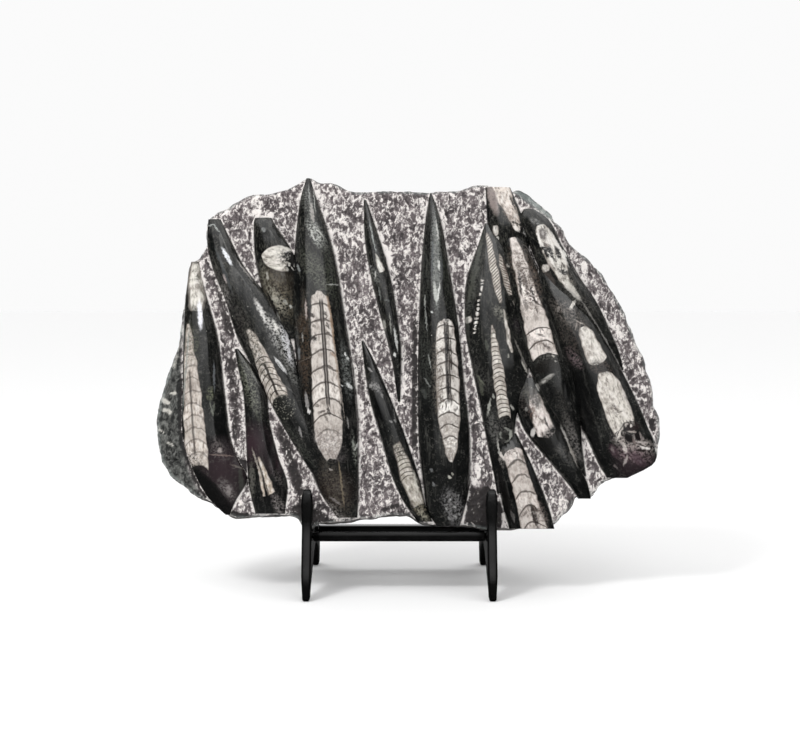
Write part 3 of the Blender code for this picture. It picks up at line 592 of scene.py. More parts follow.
        {"foot": (46.4, 151.6), "tip": (46.6, 156.6), "widths": [(0, 1.3), (0.5, 2.3), (1, 1.3)],
         "tone": "#c6c4bd", "grime": 0.4},
    ],
    "nets": [
        ((66, 163), (74, 153), 3.5, "#8c8a80", 0.7), ((50, 122), (60, 100), 5, "#4a4946", 0.6),
        ((62, 82), (66, 62), 3.5, "#6e6d6a", 0.7), ((68, 80), (80, 56), 6.5, "#4f4d4a", 0.7),
        # Painted reflection: the first net here is the lighter band of a lit room mirrored in the left flank.
        ((56, 215), (46, 160), 3.4, "#575852", 0.7), ((74, 197), (79, 176), 3.4, "#5f4a41", 0.8),
    ],
    "strokes": [
        # Painted reflection: the first two strokes here carry the lighter mirrored band down the left flank.
        ((57, 216), (45.5, 165), 1.6, "#4d4e48", 0.7), ((44.6, 160), (47, 135), 1, "#3d3e39", 0.7),
        ((62.2, 93), (60.4, 82), 1, "#a9aaa2", 0.8), ((64.4, 97), (64.6, 93.6), 0.8, "#a3a49c", 0.8),
        ((77.2, 70), (77.6, 62.6), 1.4, "#a4a59d", 0.85), ((73, 71.4), (77, 70), 0.9, "#8f9089", 0.8),
        ((69.6, 69), (70.2, 63.6), 1, "#84857e", 0.8), ((71, 68), (74, 63.6), 2.2, "#1f1f1d", 0.9),
        ((73, 61), (76.6, 62.4), 0.9, "#83847d", 0.7), ((67.3, 63), (68.8, 51), 0.8, "#b3b1ab", 0.8),
        ((77.6, 88.5), (79.8, 85.5), 1, "#adaca5", 0.8), ((76.4, 127), (75.4, 124.5), 0.7, "#a5a39c", 0.7),
        ((81, 138), (92, 112), 0.8, "#77746f", 0.7), ((86, 122), (90.5, 113), 0.7, "#bdb9b1", 0.8),
        ((55, 108), (56.5, 97), 1.3, "#585a4f", 0.6), ((52, 112), (58, 104), 0.6, "#6a6c60", 0.6),
        ((80, 168), (82.5, 162), 0.8, "#8e8780", 0.8), ((74.6, 170), (78, 160), 1.6, "#0c0b0b", 0.8),
        ((66.2, 146), (62.8, 140), 0.5, "#6d6f64", 0.6), ((59, 138), (60.5, 130), 1.2, "#5b5d55", 0.6),
    ],
    "tints": [((86, 150), 8, "#2b2629")],
}, {
    "name": "ribbed_foot",
    "rows": [(68, 65, 82, 3), (52, 63.5, 90, 7), (31, 68, 99, 8), (10, 72, 106.5, 7.5), (-3, 76, 109.5, 3)],
    "shells": [
        {"foot": (94.5, -4), "tip": (77.6, 57), "widths": [(0, 10.8), (0.25, 9), (0.45, 8), (0.7, 7.4),
         (0.88, 7.4), (1, 7.4)], "chamber": 11.7, "bow": 0.075, "phase": 6, "wall": 0.8, "tone": "#d6cbc5",
         "ragged": 2.5},
    ],
    "nets": [
        ((70, 57), (86, 50), 3.4, "#4b453f", 0.85), ((97, 14), (102, 0), 4, "#6b625e", 0.9),
        ((84, 46), (88, 30), 3, "#8d837d", 0.6), ((67, 60), (71, 44), 2, "#9c9791", 0.7),
    ],
    "strokes": [
        ((91.6, 14.5), (97, -3), 1.6, "#231b19", 0.95), ((93, 13), (96.5, 9), 1.4, "#3b302c", 0.85),
        ((68.4, 54), (72.6, 47.5), 1, "#d9d2cb", 0.9), ((74.5, 41), (82, 48), 1, "#4f4741", 0.6),
        ((82, 48), (88.6, 44.5), 1, "#4f4741", 0.6), ((86.2, 6), (88.8, 9.5), 0.9, "#6b605b", 0.8),
        ((77, 10), (79.6, 2), 1, "#a39e9b", 0.8), ((64, 50), (80, -2), 2.6, "#12100f", 0.8),
    ],
}, {
    "name": "lower_right",
    "rows": [
        (110, 86, 98, 2), (92, 82, 106, 6), (72, 87, 117, 7.5), (46, 107, 128, 7.5), (30, 120, 135, 5.5),
        (19.5, 128, 137, 2.5),
    ],
    "shells": [
        {"foot": (104.6, 64), "tip": (95, 97), "widths": [(0, 6.6), (0.35, 7), (0.6, 5.6), (0.85, 4.6),
         (1, 3)], "bow": -0.05, "tone": "#d8cdc8", "grime": 0.25, "ragged": 2},
    ],
    "nets": [
        ((90, 101), (99, 88), 5, "#5a5850", 0.95), ((92, 90), (95, 78), 2.4, "#5b4238", 0.8),
        ((84, 100), (90, 80), 3, "#45413e", 0.7), ((108, 62), (122, 45), 4, "#4a4845", 0.7),
    ],
    "strokes": [
        ((95.8, 51.3), (121.2, 76.7), 6.9, "#141413", 1), ((93, 100), (98.4, 88), 3.8, "#4a4643", 0.9),
        ((102.2, 80), (105, 71.5), 0.7, "#15110f", 0.95), ((94.3, 71), (93.6, 65.5), 1.5, "#cfcac6", 0.9),
        ((97.6, 107), (98.8, 100.5), 1.4, "#b5b3af", 0.85), ((126, 45), (116, 72), 0.9, "#c3bdb6", 0.8),
        ((88.5, 87), (89.5, 84.5), 0.9, "#8d8a86", 0.7),
    ],
}, {
    "name": "long_right",
    "rows": [
        (228, 74, 85, 2), (215, 72, 90, 5), (185, 75, 102, 9), (155, 82, 112, 10.5), (120, 91, 123.5, 10.5),
        (90, 103, 129.5, 10), (71, 114, 130.5, 8.5), (46, 126, 132.5, 5), (36, 130, 134, 1.5),
    ],
    "shells": [
        {"foot": (102.6, 127), "tip": (79.6, 218.5), "widths": [(0, 9.4), (0.14, 9.7), (0.26, 9.2),
         (0.37, 8.4), (0.5, 7), (0.66, 6), (0.8, 5), (0.92, 3.6), (1, 1.2)], "chamber": 10.3, "bow": 0.04,
         "phase": -0.4, "walled": (0.03, 0.28), "wall": 0.9, "tone": "#f8eee8", "grime": 0.22},
    ],
    "nets": [
        ((86, 223), (101, 194), 4, "#6f6a67", 0.85), ((83, 206), (96, 172), 7.5, "#76675d", 0.95),
        ((88, 182), (97, 158), 6, "#8b7d73", 0.8), ((85, 200), (96, 162), 5.6, "#453d39", 0.9),
        ((94, 136), (110, 130), 4, "#6f655e", 0.7), ((100, 120), (111, 122), 6, "#87847f", 0.5),
        ((118, 80), (128, 50), 3.4, "#807c79", 0.7), ((112, 100), (122, 70), 4, "#34322f", 0.7),
    ],
    "strokes": [
        ((97, 116), (112, 119), 5.5, "#171513", 0.9), ((84.3, 190), (86, 171), 1.2, "#231e1c", 0.95),
        ((88.6, 189), (90.8, 170), 1, "#4a423e", 0.9), ((92, 193.5), (94, 186), 1.4, "#57504c", 0.8),
        ((92.5, 179), (96.4, 166), 0.9, "#26211f", 0.95), ((88, 168.5), (90.4, 160), 1.6, "#6b6460", 0.8),
        ((93.6, 168.4), (103, 162), 0.7, "#3a3432", 0.9), ((85.8, 166), (88.4, 152), 1, "#8b837d", 0.8),
        ((96, 164), (98, 158), 0.8, "#4f4844", 0.8), ((97, 142), (103.4, 140), 0.9, "#5a524d", 0.8),
        ((101.6, 134.4), (107.4, 130.4), 1.1, "#4f4844", 0.85),
        ((81.6, 207), (84.4, 203), 1.3, "#857b74", 0.8), ((95, 156), (99, 152.4), 1, "#8b837d", 0.6),
        ((86.4, 180), (88.4, 173), 0.8, "#f5efe9", 0.8), ((99.8, 105), (109.6, 111.4), 1.7, "#6f6d69", 0.9),
        ((103, 108.4), (109, 111.4), 0.9, "#a09e99", 0.8), ((101, 105.4), (103.6, 107), 0.7, "#b3b1ac", 0.8),
        ((96.6, 104.6), (98.4, 101), 1.5, "#8b8884", 0.95), ((115.4, 72), (123, 50), 1.2, "#cdc9c4", 0.85),
        ((121.6, 57), (126.6, 45.5), 1, "#b9b4ae", 0.8), ((108.6, 126), (110, 124.5), 0.7, "#b7b3ab", 0.8),
        # Painted highlight: the grey line from (93, 212) to (104, 178), over this line and the next, is light
        # caught along the right flank's edge.
        ((110.6, 122), (111.6, 120.5), 0.7, "#a8a59f", 0.8), ((93, 212), (98.5, 194), 0.6, "#8d8b88", 0.7),
        ((98.5, 194), (104, 178), 0.6, "#9b9996", 0.7), ((87, 190), (89, 182), 1.2, "#4b3f38", 0.7),
        ((84.5, 196), (86.5, 190), 1, "#54473f", 0.7), ((74, 197), (77, 194), 0.8, "#a8a39c", 0.7),
    ],
}, {
    "name": "top_right",
    "rows": [
        (257, 60, 79, 2), (245, 60.5, 84, 5), (228, 61.5, 90, 6), (210, 68, 93, 3.5), (196, 72, 84, 1.5),
    ],
    "shells": [
        {"foot": (85, 222), "tip": (70, 260), "widths": [(0, 0.8), (0.1, 3), (0.3, 4.2), (0.55, 5.2),
         (0.8, 6.4), (1, 6.4)], "tone": "#dcd0c6", "grime": 0.24, "ragged": 1.2},
        {"foot": (68, 218.8), "tip": (67, 226.4), "widths": [(0, 0.8), (0.5, 2.3), (1, 1.6)],
         "tone": "#d8d5cf"},
    ],
    "nets": [
        ((80, 232), (84, 224), 3, "#57504b", 0.85), ((75, 240), (80, 230), 3, "#8f7f75", 0.7),
        ((84, 249), (90, 240), 3, "#c5c6c4", 0.8), ((84, 228), (90, 220), 1.6, "#b9b7b3", 0.8),
    ],
    "strokes": [
        ((63, 257), (68, 236), 3.2, "#938884", 0.95), ((78.5, 229), (85.4, 227.4), 0.8, "#2f2a27", 0.95),
        ((86.6, 230), (87.6, 220), 1.3, "#131211", 1), ((81.6, 226), (84.4, 222), 1.5, "#ece6e0", 0.95),
        ((79, 226), (80.6, 220), 1.2, "#1b1917", 0.9), ((61.6, 241), (62.6, 222), 0.8, "#0a0a0a", 0.9),
        ((68.4, 218), (69.4, 216.4), 0.8, "#cdcac4", 0.85), ((83.6, 228), (84.4, 225), 0.8, "#4d4540", 0.7),
        ((78, 250), (83, 238), 0.7, "#15100f", 0.9),
    ],
}, {
    "name": "shoulder",
    "rows": [
        (240, 89, 97, 2), (234, 86, 106, 6), (212, 93, 118, 9.5), (185, 105, 132.5, 10.5),
        (170, 116, 142.5, 9), (150, 138, 152, 6), (128, 154, 160.5, 3), (116, 160, 163, 1),
    ],
    "shells": [
        {"foot": (122, 176), "tip": (100.8, 226), "widths": [(0, 1.4), (0.2, 4.2), (0.4, 6), (0.65, 6.3),
         (0.85, 5.4), (0.95, 4.4), (1, 2.6)], "tone": "#cfcbc3", "grime": 0.4, "ragged": 1},
        {"foot": (105, 190.4), "tip": (104.8, 196), "widths": [(0, 2), (0.5, 2.9), (1, 1.8)],
         "tone": "#cfcac3"},
    ],
    "nets": [
        ((94, 231), (99.5, 227.5), 1.8, "#8f8e8b", 0.8), ((112, 196), (126, 178), 3.4, "#77726b", 0.8),
        ((118, 176), (140, 160), 5, "#55534f", 0.7), ((112, 178), (120, 160), 5, "#4b4946", 0.6),
    ],
    "strokes": [
        ((101.4, 222.4), (104.4, 215), 2.9, "#5c5653", 1), ((108.4, 221), (121, 196), 1.5, "#efebe5", 0.95),
        ((101, 213), (111.6, 193), 1, "#e6e2dc", 0.9), ((98.4, 220), (100.4, 211), 0.8, "#efebe5", 0.9),
        ((102, 221), (103, 218), 1, "#a8a39f", 0.8), ((98.8, 222), (101.2, 209), 0.9, "#e9e5df", 0.9),
        ((105.5, 217), (109.5, 210), 1.6, "#e9e5df", 0.8), ((101.4, 208), (108.8, 206), 1.9, "#0d0c0c", 1),
        ((107, 208.8), (110.2, 199.6), 1.6, "#0f0e0e", 1), ((112.2, 208.4), (115.6, 199.6), 2, "#0f0e0e", 1),
        ((103.4, 212), (105.4, 209.6), 0.9, "#4f4945", 0.9), ((103.6, 206), (107, 200.6), 1.1, "#151313", 1),
        ((110.4, 200), (112.4, 197), 0.8, "#2f2b29", 0.9), ((118, 206.5), (120.4, 202), 1.4, "#e4e1db", 0.95),
        ((115.4, 190), (121, 187.8), 1.7, "#0f0e0e", 1), ((119.8, 190.6), (121.2, 188), 0.9, "#2b2927", 0.9),
        ((113.4, 192), (115, 189), 0.9, "#4a4542", 0.8), ((104, 189), (110, 178), 3.6, "#57504c", 0.75),
        ((120.6, 181), (129.4, 169), 2.2, "#c9c5bd", 0.9),
        ((126.8, 168), (122.6, 161.4), 1.1, "#b5b1ab", 0.9), ((118, 178), (131, 168), 0.6, "#9d9a96", 0.7),
        ((131, 168), (145, 146), 0.6, "#85827e", 0.7), ((145, 146), (161, 117), 0.7, "#a9a6a3", 0.75),
        ((87.4, 224), (89.6, 221), 0.8, "#c3c2be", 0.8),
    ],
}, {
    "name": "far_right",
    "rows": [
        (198, 100, 107, 2), (185, 100, 117, 5.5), (160, 107, 137, 9.5), (125, 119, 157, 11.5),
        (90, 126.5, 174, 12), (72, 131, 181, 11.5), (60, 136.5, 185.5, 11), (45, 143, 184, 8.5),
        (35, 149, 165, 3),
    ],
    "shells": [
        {"foot": (143.6, 119), "tip": (131.6, 147.5), "widths": [(0, 7.6), (0.35, 7), (0.7, 5.6), (0.9, 3.8),
         (1, 1.6)], "bow": -0.05, "tone": "#dcd7cf", "grime": 0.12},
        {"foot": (161.3, 71.5), "tip": (146.6, 113.5), "widths": [(0, 8.4), (0.15, 9.8), (0.5, 10),
         (0.75, 9.4), (0.9, 7), (1, 3.5)], "bow": 0.02, "tone": "#d9d3ca", "grime": 0.22, "ragged": 1.2},
    ],
    "nets": [
        ((129, 149), (134, 146), 2.4, "#77706b", 0.8), ((139, 119), (150, 114), 4.6, "#6d625c", 0.9),
        ((112, 166), (130, 148), 6.5, "#77706b", 0.8), ((116, 150), (126, 130), 5, "#4b4541", 0.8),
        ((121, 130), (129, 118), 3.4, "#7d6d70", 0.8), ((150, 90), (158, 80), 3, "#6b635c", 0.7),
        ((128, 148), (120, 120), 4, "#3b3532", 0.6), ((157, 63), (181, 56), 6, "#b3aaa5", 1),
        ((155, 54), (180, 49), 5.5, "#7a696c", 1), ((157, 67), (166, 58), 3.4, "#a39a95", 0.8),
    ],
    "strokes": [
        ((123, 161.4), (126.6, 168), 1.3, "#d9d4cc", 1), ((127, 152), (133, 149), 0.6, "#a39b94", 0.9),
        ((127.6, 150.6), (126.4, 145), 0.5, "#8f8780", 0.8), ((114, 163), (113.6, 159), 0.8, "#8b8580", 0.8),
        ((139, 120), (150, 113.6), 3.6, "#1b1817", 0.7), ((160, 72), (172, 72), 3.6, "#2a2222", 0.9),
        ((153.4, 88), (157.6, 82.4), 0.8, "#4a423d", 0.85), ((157.6, 82.4), (160.6, 84), 0.7, "#57504a", 0.7),
        ((155.6, 62), (158.4, 71), 1.5, "#d3cdc6", 1), ((158.4, 69), (163.5, 74.6), 1.2, "#bdb5ae", 1),
        ((155, 61.5), (157.4, 69.5), 0.5, "#2a2424", 0.9), ((157.2, 69), (162, 75), 0.5, "#2a2424", 0.9),
        ((162, 75), (170.5, 76), 0.6, "#2a2424", 0.9), ((170.6, 76), (173, 71), 0.6, "#2a2424", 0.8),
        ((161.4, 73), (161.8, 69.4), 1.3, "#171313", 0.95), ((162, 66), (167.6, 61), 3, "#131010", 1),
        ((170.5, 67), (172.6, 62), 2.3, "#171313", 1), ((164, 68.4), (170, 68), 0.7, "#a89f99", 0.9),
        ((168, 63), (169.6, 57), 1.2, "#6f6461", 0.8), ((173, 68), (175, 62), 0.9, "#8f8683", 0.8),
        ((160.6, 59.4), (162.2, 53), 1.5, "#c9c1bc", 0.95), ((157.4, 62), (160.6, 57.4), 1.1, "#a09894", 0.9),
        ((171, 60.6), (178.6, 60), 1, "#b4aca8", 0.95), ((173.6, 57), (180.4, 56), 1, "#e0dbd7", 1),
        ((170, 54.6), (177, 54), 1, "#181313", 0.9), ((166.4, 58), (168, 54), 0.9, "#8a807d", 0.8),
        ((163.6, 50), (160.8, 43.6), 1, "#a59c99", 0.9), ((173, 47), (174, 45), 0.7, "#8b8083", 0.8),
        ((168, 51), (176, 44), 3, "#4b3b42", 0.7), ((151, 58), (156, 50), 2.6, "#43353a", 0.7),
        ((152, 57), (153, 53), 0.9, "#7b7070", 0.7), ((154, 44), (156, 41), 0.9, "#6b6463", 0.7),
        # Painted shade: the first wide black stroke here darkens the shadowed left flank.
        ((122, 120), (139, 62), 6, "#0a0a0a", 0.8), ((159, 103), (167, 84), 1.2, "#a9a49e", 0.5),
        ((166.5, 73.5), (166.5, 71.5), 0.8, "#ddd6d0", 1),
    ],
    "rings": [((166.5, 72.5), 2.7)],
    "tints": [((168, 48), 18, "#352a2e")],
}]


BORDER_EDGE = [  # the right edge of the unworked border, upwards
    (-136, 8), (-141, 12), (-149, 20), (-157, 33), (-163, 48), (-168, 65),
    (-169, 100), (-169, 145), (-168, 170), (-166, 188), (-164, 199), (-160, 206),
]
BORDER_TURN = 48.0  # below this height the border falls away more gently
CORNER_EDGE = ((82.0, 251.5), (119.0, 223.0))
GROUND_SIZE = (392.0, 284.0)  # the block before it is cut to its outline
GROUND_MIDDLE = 130.0  # the v of its middle


def border_amount(points):
    """How far the border left of the first cone falls away, and how weathered it is, each from 0 to 1."""
    edge_u, edge_v = zip(*BORDER_EDGE)
    outside = curve_through(edge_v, edge_u, points[:, 1]) - points[:, 0]
    outside = np.where(points[:, 1] < BORDER_TURN, 0.6 * outside, outside)
    return ease(1.0, 17.0, outside), ease(0.0, 3.0, outside)


def broken_corner(points):
    """0 to 1 across the grey broken facets at the upper right."""
    start, end = np.array(CORNER_EDGE)
    along = (end - start) / np.hypot(*(end - start))
    outwards = np.array((-along[1], along[0]))
    return ease(-1.0, 5.0, (points[:, :2] - start) @ outwards)


def edge_distance(points):
    """How far each point of the ground lies from the nearest cone, in mm."""
    nearest = np.full(len(points), 50.0)
    for fossil in FOSSILS:
        v, left, right, _ = np.array(fossil["rows"], float)[::-1].T
        at = points[:, 1]
        left_u, right_u = curve_through(v, left, at), curve_through(v, right, at)
        gap = np.maximum(left_u - points[:, 0], points[:, 0] - right_u)
        beyond = np.maximum(np.maximum(v[0] - at, at - v[-1]), 0.0)
        nearest = np.minimum(nearest, np.hypot(np.maximum(gap, 0.0), beyond))
    return nearest


def ground_tone(points):
    """How much whiter or darker than its surroundings the ground is at each point, painted shade included."""
    tone = np.zeros(len(points))
    ragged = 0.9 * noise_at(points, 2.2, 7)
    for start, end, half_width, change in GROUND_TONES:
        away = distance_to_line(points, [start, end]) + ragged
        tone += change * (1.0 - ease(0.6 * half_width, half_width + 0.9, away))
    return tone


def make_ground(materials):
    """The block with its pitted face, before it gets its outline and its cones."""
    columns, rows = (round(side / GROUND_SPACING) for side in GROUND_SIZE)
    bpy.ops.object.select_all(action="DESELECT")
    bpy.ops.mesh.primitive_grid_add(x_subdivisions=columns, y_subdivisions=rows, size=1.0)
    block = bpy.context.object
    block.name = "orthoceras_slab"
    write_points(block, read_points(block) * (*GROUND_SIZE, 1.0) + (0.0, GROUND_MIDDLE, 0.0))
    bpy.ops.object.mode_set(mode="EDIT")
    bpy.ops.mesh.select_mode(type="EDGE")
    bpy.ops.mesh.select_all(action="DESELECT")
    bpy.ops.mesh.select_non_manifold()
    bpy.ops.mesh.extrude_edges_move(TRANSFORM_OT_translate={"value": (0.0, 0.0, SLAB_BACK)})
    bpy.ops.mesh.edge_face_add()
    bpy.ops.mesh.select_all(action="SELECT")
    bpy.ops.mesh.normals_make_consistent(inside=False)
    bpy.ops.object.mode_set(mode="OBJECT")
    for material in materials:
        block.data.materials.append(material)
    for face in block.data.polygons:
        face.material_index = 0 if face.center.z > -1.0 else 1

    points = read_points(block)
    top = points[:, 2] > -1.0
    face_points = points[top]
    marks = noise_at(face_points, 0.5 * TOOL_MARK, 1) + 0.6 * noise_at(face_points, 1.3 * TOOL_MARK, 2)
    swell = noise_at(face_points, 22.0, 3)
    falling, border = border_amount(face_points)
    corner = broken_corner(face_points)
    rim = edge_distance(face_points)
    from_edge = distance_to_line(face_points, [*OUTLINE, OUTLINE[0]])
    chips = 1.5 * noise_at(face_points, 6.0, 4)
    tone = ground_tone(face_points)
    worn = np.maximum(corner, 0.8 * (1.0 - ease(0.5, 2.5, from_edge + 0.5 * chips)))
    relief = PIT_DEPTH * marks * (1.0 - 0.5 * corner) * (0.45 + 0.55 * ease(0.0, 3.0, rim))
    relief += 0.9 * swell * ease(0.0, 8.0, rim) - BORDER_DROP * falling - CORNER_DROP * corner
    relief -= 2.6 * (1.0 - ease(0.0, 4.5, from_edge + chips))
    points[top, 2] = relief
    write_points(block, points)
    mapped = {"marks": marks, "border": border, "worn": worn, "rim": rim, "tone": tone}
    for name, values in mapped.items():
        attribute = block.data.attributes.new(name, "FLOAT", "POINT")
        spread = np.zeros(len(points), np.float32)
        spread[top] = values
        attribute.data.foreach_set("value", spread)
    return block


# How far the broken edge lies inside the outline, at depths from behind the back to above the face
SIDE_PROFILE = [(-29, BACK_INSET), (-26, BACK_INSET), (-18, 1.6), (SLAB_EDGE, 0), (-3, 0.6), (3.2, 2.2)]


def make_sides(material):
    """A closed cutter whose wall is the slab's broken edge, widest a third of the way back."""
    line = finished_outline()
    count = len(line)
    ahead = np.roll(line, -2, axis=0) - np.roll(line, 2, axis=0)
    outwards = np.stack([-ahead[:, 1], ahead[:, 0]], axis=1) / np.hypot(*ahead.T)[:, None]
    levels = np.array([-29, -26.9, -25, -22, -19, -16, -13, -10.5, -8, -5.5, -3, -0.8, 1.2, 3.2])
    insets = curve_through(*zip(*SIDE_PROFILE), levels)
    bpy.ops.object.select_all(action="DESELECT")
    bpy.ops.mesh.primitive_cylinder_add(vertices=count, radius=1.0, depth=levels[-1] - levels[0])
    sides = bpy.context.object
    write_points(sides, read_points(sides) + (0.0, 0.0, (levels[-1] + levels[0]) / 2))
    bpy.ops.object.mode_set(mode="EDIT")
    for level in levels[1:-1]:
        bpy.ops.mesh.select_all(action="SELECT")
        bpy.ops.mesh.bisect(plane_co=(0.0, 0.0, level), plane_no=(0.0, 0.0, 1.0))
    bpy.ops.object.mode_set(mode="OBJECT")
    points = read_points(sides)
    turn = np.arctan2(points[:, 1], points[:, 0]) / (2 * math.pi) * count
    index = (-np.round(turn).astype(int)) % count
    inset = np.interp(points[:, 2], levels, insets)
    points[:, :2] = line[index]
    lumps = 1.1 * noise_at(points, 9.0, 5) + 0.5 * noise_at(points, 3.5, 6)
    points[:, :2] += (lumps - inset)[:, None] * outwards[index]
    resting = line[index, 1] < 2.0
    points[resting, 1] = np.maximum(points[resting, 1], RESTING_LEVEL)
    write_points(sides, points)
    sides.data.materials.append(material)
    return sides


ARCH_FACES = 32  # across a cone
FACET = 0.44  # the part of a cone's half width that its flat cut face takes up
ROOT_DEPTH = -5.0  # the w of a cone's underside, hidden in the stone
STATION = 3.0  # mm between the sections of a cone
ARCH_PROFILE = [(0.0, 1.0), (0.12, 0.93), (0.78, 0.50), (0.93, 0.30), (1.0, 0.0)]  # (way down a side, height)


def faceted_arch(across):
    """The height of a cone's section, 1 at its crest: a flat cut face, two sloping sides and steep edges."""
    down_the_side = np.maximum(np.abs(across) - FACET, 0.0) / (1.0 - FACET)
    side = curve_through(*zip(*ARCH_PROFILE), down_the_side)
    return side * (1.0 - 0.05 * np.minimum(np.abs(across) / FACET, 1.0) ** 2)


def make_cone(number, fossil, material):
    """One polished cone, standing on a flat underside inside the stone."""
    v, left, right, crest = np.array(fossil["rows"], float)[::-1].T
    sections = round((v[-1] - v[0]) / STATION)
    bpy.ops.object.select_all(action="DESELECT")
    bpy.ops.mesh.primitive_grid_add(x_subdivisions=ARCH_FACES, y_subdivisions=sections, size=1.0)
    cone = bpy.context.object
    bpy.ops.object.mode_set(mode="EDIT")
    bpy.ops.mesh.select_all(action="SELECT")
    bpy.ops.mesh.extrude_region_move(TRANSFORM_OT_translate={"value": (0.0, 0.0, 1.0)})
    bpy.ops.object.mode_set(mode="OBJECT")
    flat = read_points(cone)
    across = 0.5 * np.clip(np.sin(math.pi * flat[:, 0]), -1.0, 1.0) + flat[:, 0]
    at = v[0] + (flat[:, 1] + 0.5) * (v[-1] - v[0])
    left_u, right_u = curve_through(v, left, at), curve_through(v, right, at)
    u = (left_u + right_u) / 2 + across * (right_u - left_u) / 2
    points = np.stack([u, at, np.zeros(len(at))], axis=1)
    arch = faceted_arch(across)
    hand_finish = 0.35 * noise_at(points * (1.0, 0.45, 1.0), 11.0, 20 + number)
    height = curve_through(v, crest, at) * arch + hand_finish * ease(0.0, 0.6, arch)
    points[:, 2] = np.where(flat[:, 2] > 0.5, height, ROOT_DEPTH)
    write_points(cone, points)
    cone.data.materials.append(material)
    return cone


STONE_IOR = 1.56
TINT_HEIGHT = 5.0  # how far out of the face the warm patches are centred
DISC_HEIGHT = 7.0  # the same for the round sections
CHAMBER_WALL = "#3f3732"
SHELL_SHADE = "#8b8179"
SHELL_DIRT = "#4c4641"


def slab_place(tree):
    """Places on the slab's face in mm: u to the right, v up the face, w out of it."""
    on_slab = {
        "Vector": add_node(tree, "TexCoord", {}).outputs["Object"],
        "Location": -(Matrix.Rotation(-FACE_TURN, 3, "X") @ FACE_FOOT),
        "Rotation": (-FACE_TURN, 0.0, 0.0),
        "Scale": (1 / MM,) * 3,
    }
    return add_node(tree, "Mapping", on_slab)


def layered(tree, colour, layers):
    """Lays colours over a first one in turn. A layer is (how much of it shows, its colour)."""
    for amount, tint in layers:
        colour = add_node(tree, "Mix", {0: amount, 6: colour, 7: tint}, data_type="RGBA")
    return colour


def finish_surface(tree, shader, colour, roughness, relief=None, strength=1.0, depth=0.0):
    """Feeds the shader its colour and roughness, and a bump from a relief of that depth in metres."""
    tree.links.new(colour.outputs[2], shader.inputs["Base Color"])
    tree.links.new(roughness.outputs[0], shader.inputs["Roughness"])
    if relief:
        bump = add_node(tree, "Bump", {"Height": relief, "Strength": strength, "Distance": depth})
        tree.links.new(bump.outputs[0], shader.inputs["Normal"])


def polished_black(tree, place, fossil):
    """The colour of polished black limestone: cloudy and streaked, with shell debris, fibres and specks."""
    _, left, right, _ = np.array(fossil["rows"], float).T
    rise = fossil["rows"][0][0] - fossil["rows"][-1][0]
    tilt = math.atan2((left[0] + right[0] - left[-1] - right[-1]) / 2, rise)
    turned = add_node(tree, "Mapping", {"Vector": place, "Rotation": (0.0, 0.0, tilt)})
    clouds = add_node(tree, "TexNoise", {"Vector": place, "Scale": 0.055, "Detail": 4.0, "Roughness": 0.6})
    cloudy = add_node(tree, "MapRange", {"Value": clouds, "From Min": 0.36, "From Max": 0.66})
    drawn_out = add_node(tree, "Mapping", {"Vector": turned, "Scale": (1.0, 0.14, 1.0)})
    bands = add_node(tree, "TexNoise", {"Vector": drawn_out, "Scale": 0.3, "Detail": 4.0, "Roughness": 0.6})
    streak = add_node(tree, "MapRange", {"Value": bands, "From Min": 0.54, "From Max": 0.76, "To Max": 0.35})
    layers = [(cloudy, "#191a19"), (streak, "#5d5c58")]

    for (u, v), reach, tint in fossil.get("tints", []):
        middle = (u, v, TINT_HEIGHT)
        away = add_node(tree, "VectorMath", {0: place, 1: middle}, operation="DISTANCE").outputs["Value"]
        fading = {"Value": away, "From Min": reach, "From Max": 0.2 * reach, "To Max": 0.85}
        layers.append((add_node(tree, "MapRange", fading), tint))

    tangle = {"Vector": place, "Scale": 0.42, "Detail": 5.0, "Roughness": 0.72, "Distortion": 0.5}
    net = add_node(tree, "TexNoise", tangle)
    netted = add_node(tree, "MapRange", {"Value": net, "From Min": 0.53, "From Max": 0.72, "To Max": 0.4})
    netted = add_node(tree, "Math", {0: netted, 1: cloudy}, operation="MULTIPLY")
    height = add_node(tree, "SeparateXYZ", {0: place}).outputs["Y"]
    upper = add_node(tree, "MapRange", {"Value": height, "From Min": 90.0, "From Max": 200.0})
    fibres = add_node(tree, "Mapping", {"Vector": turned, "Scale": (1.0, 0.3, 1.0)})
    fibrous = add_node(tree, "TexNoise", {"Vector": fibres, "Scale": 0.8, "Detail": 3.0, "Roughness": 0.7})
    fibrous = add_node(tree, "MapRange", {"Value": fibrous, "From Min": 0.5, "From Max": 0.68, "To Max": 0.5})
    fibrous = add_node(tree, "Math", {0: fibrous, 1: upper}, operation="MULTIPLY")
    cells = add_node(tree, "TexVoronoi", {"Vector": place, "Scale": 0.16})
    chosen = add_node(tree, "SeparateColor", {0: cells.outputs["Color"]}).outputs[0]
    reach = add_node(tree, "Math", {0: chosen, 1: 0.19, 2: -0.09}, operation="MULTIPLY_ADD")
    inside = add_node(tree, "Math", {0: reach, 1: cells.outputs["Distance"]}, operation="SUBTRACT")
    speck = add_node(tree, "MapRange", {"Value": inside, "From Min": 0.0, "From Max": 0.05, "To Max": 0.75})
    layers += [(netted, "#8b8882"), (fibrous, "#5b5a53"), (speck, "#b9b7b0")]
    return layered(tree, "#070808", layers)


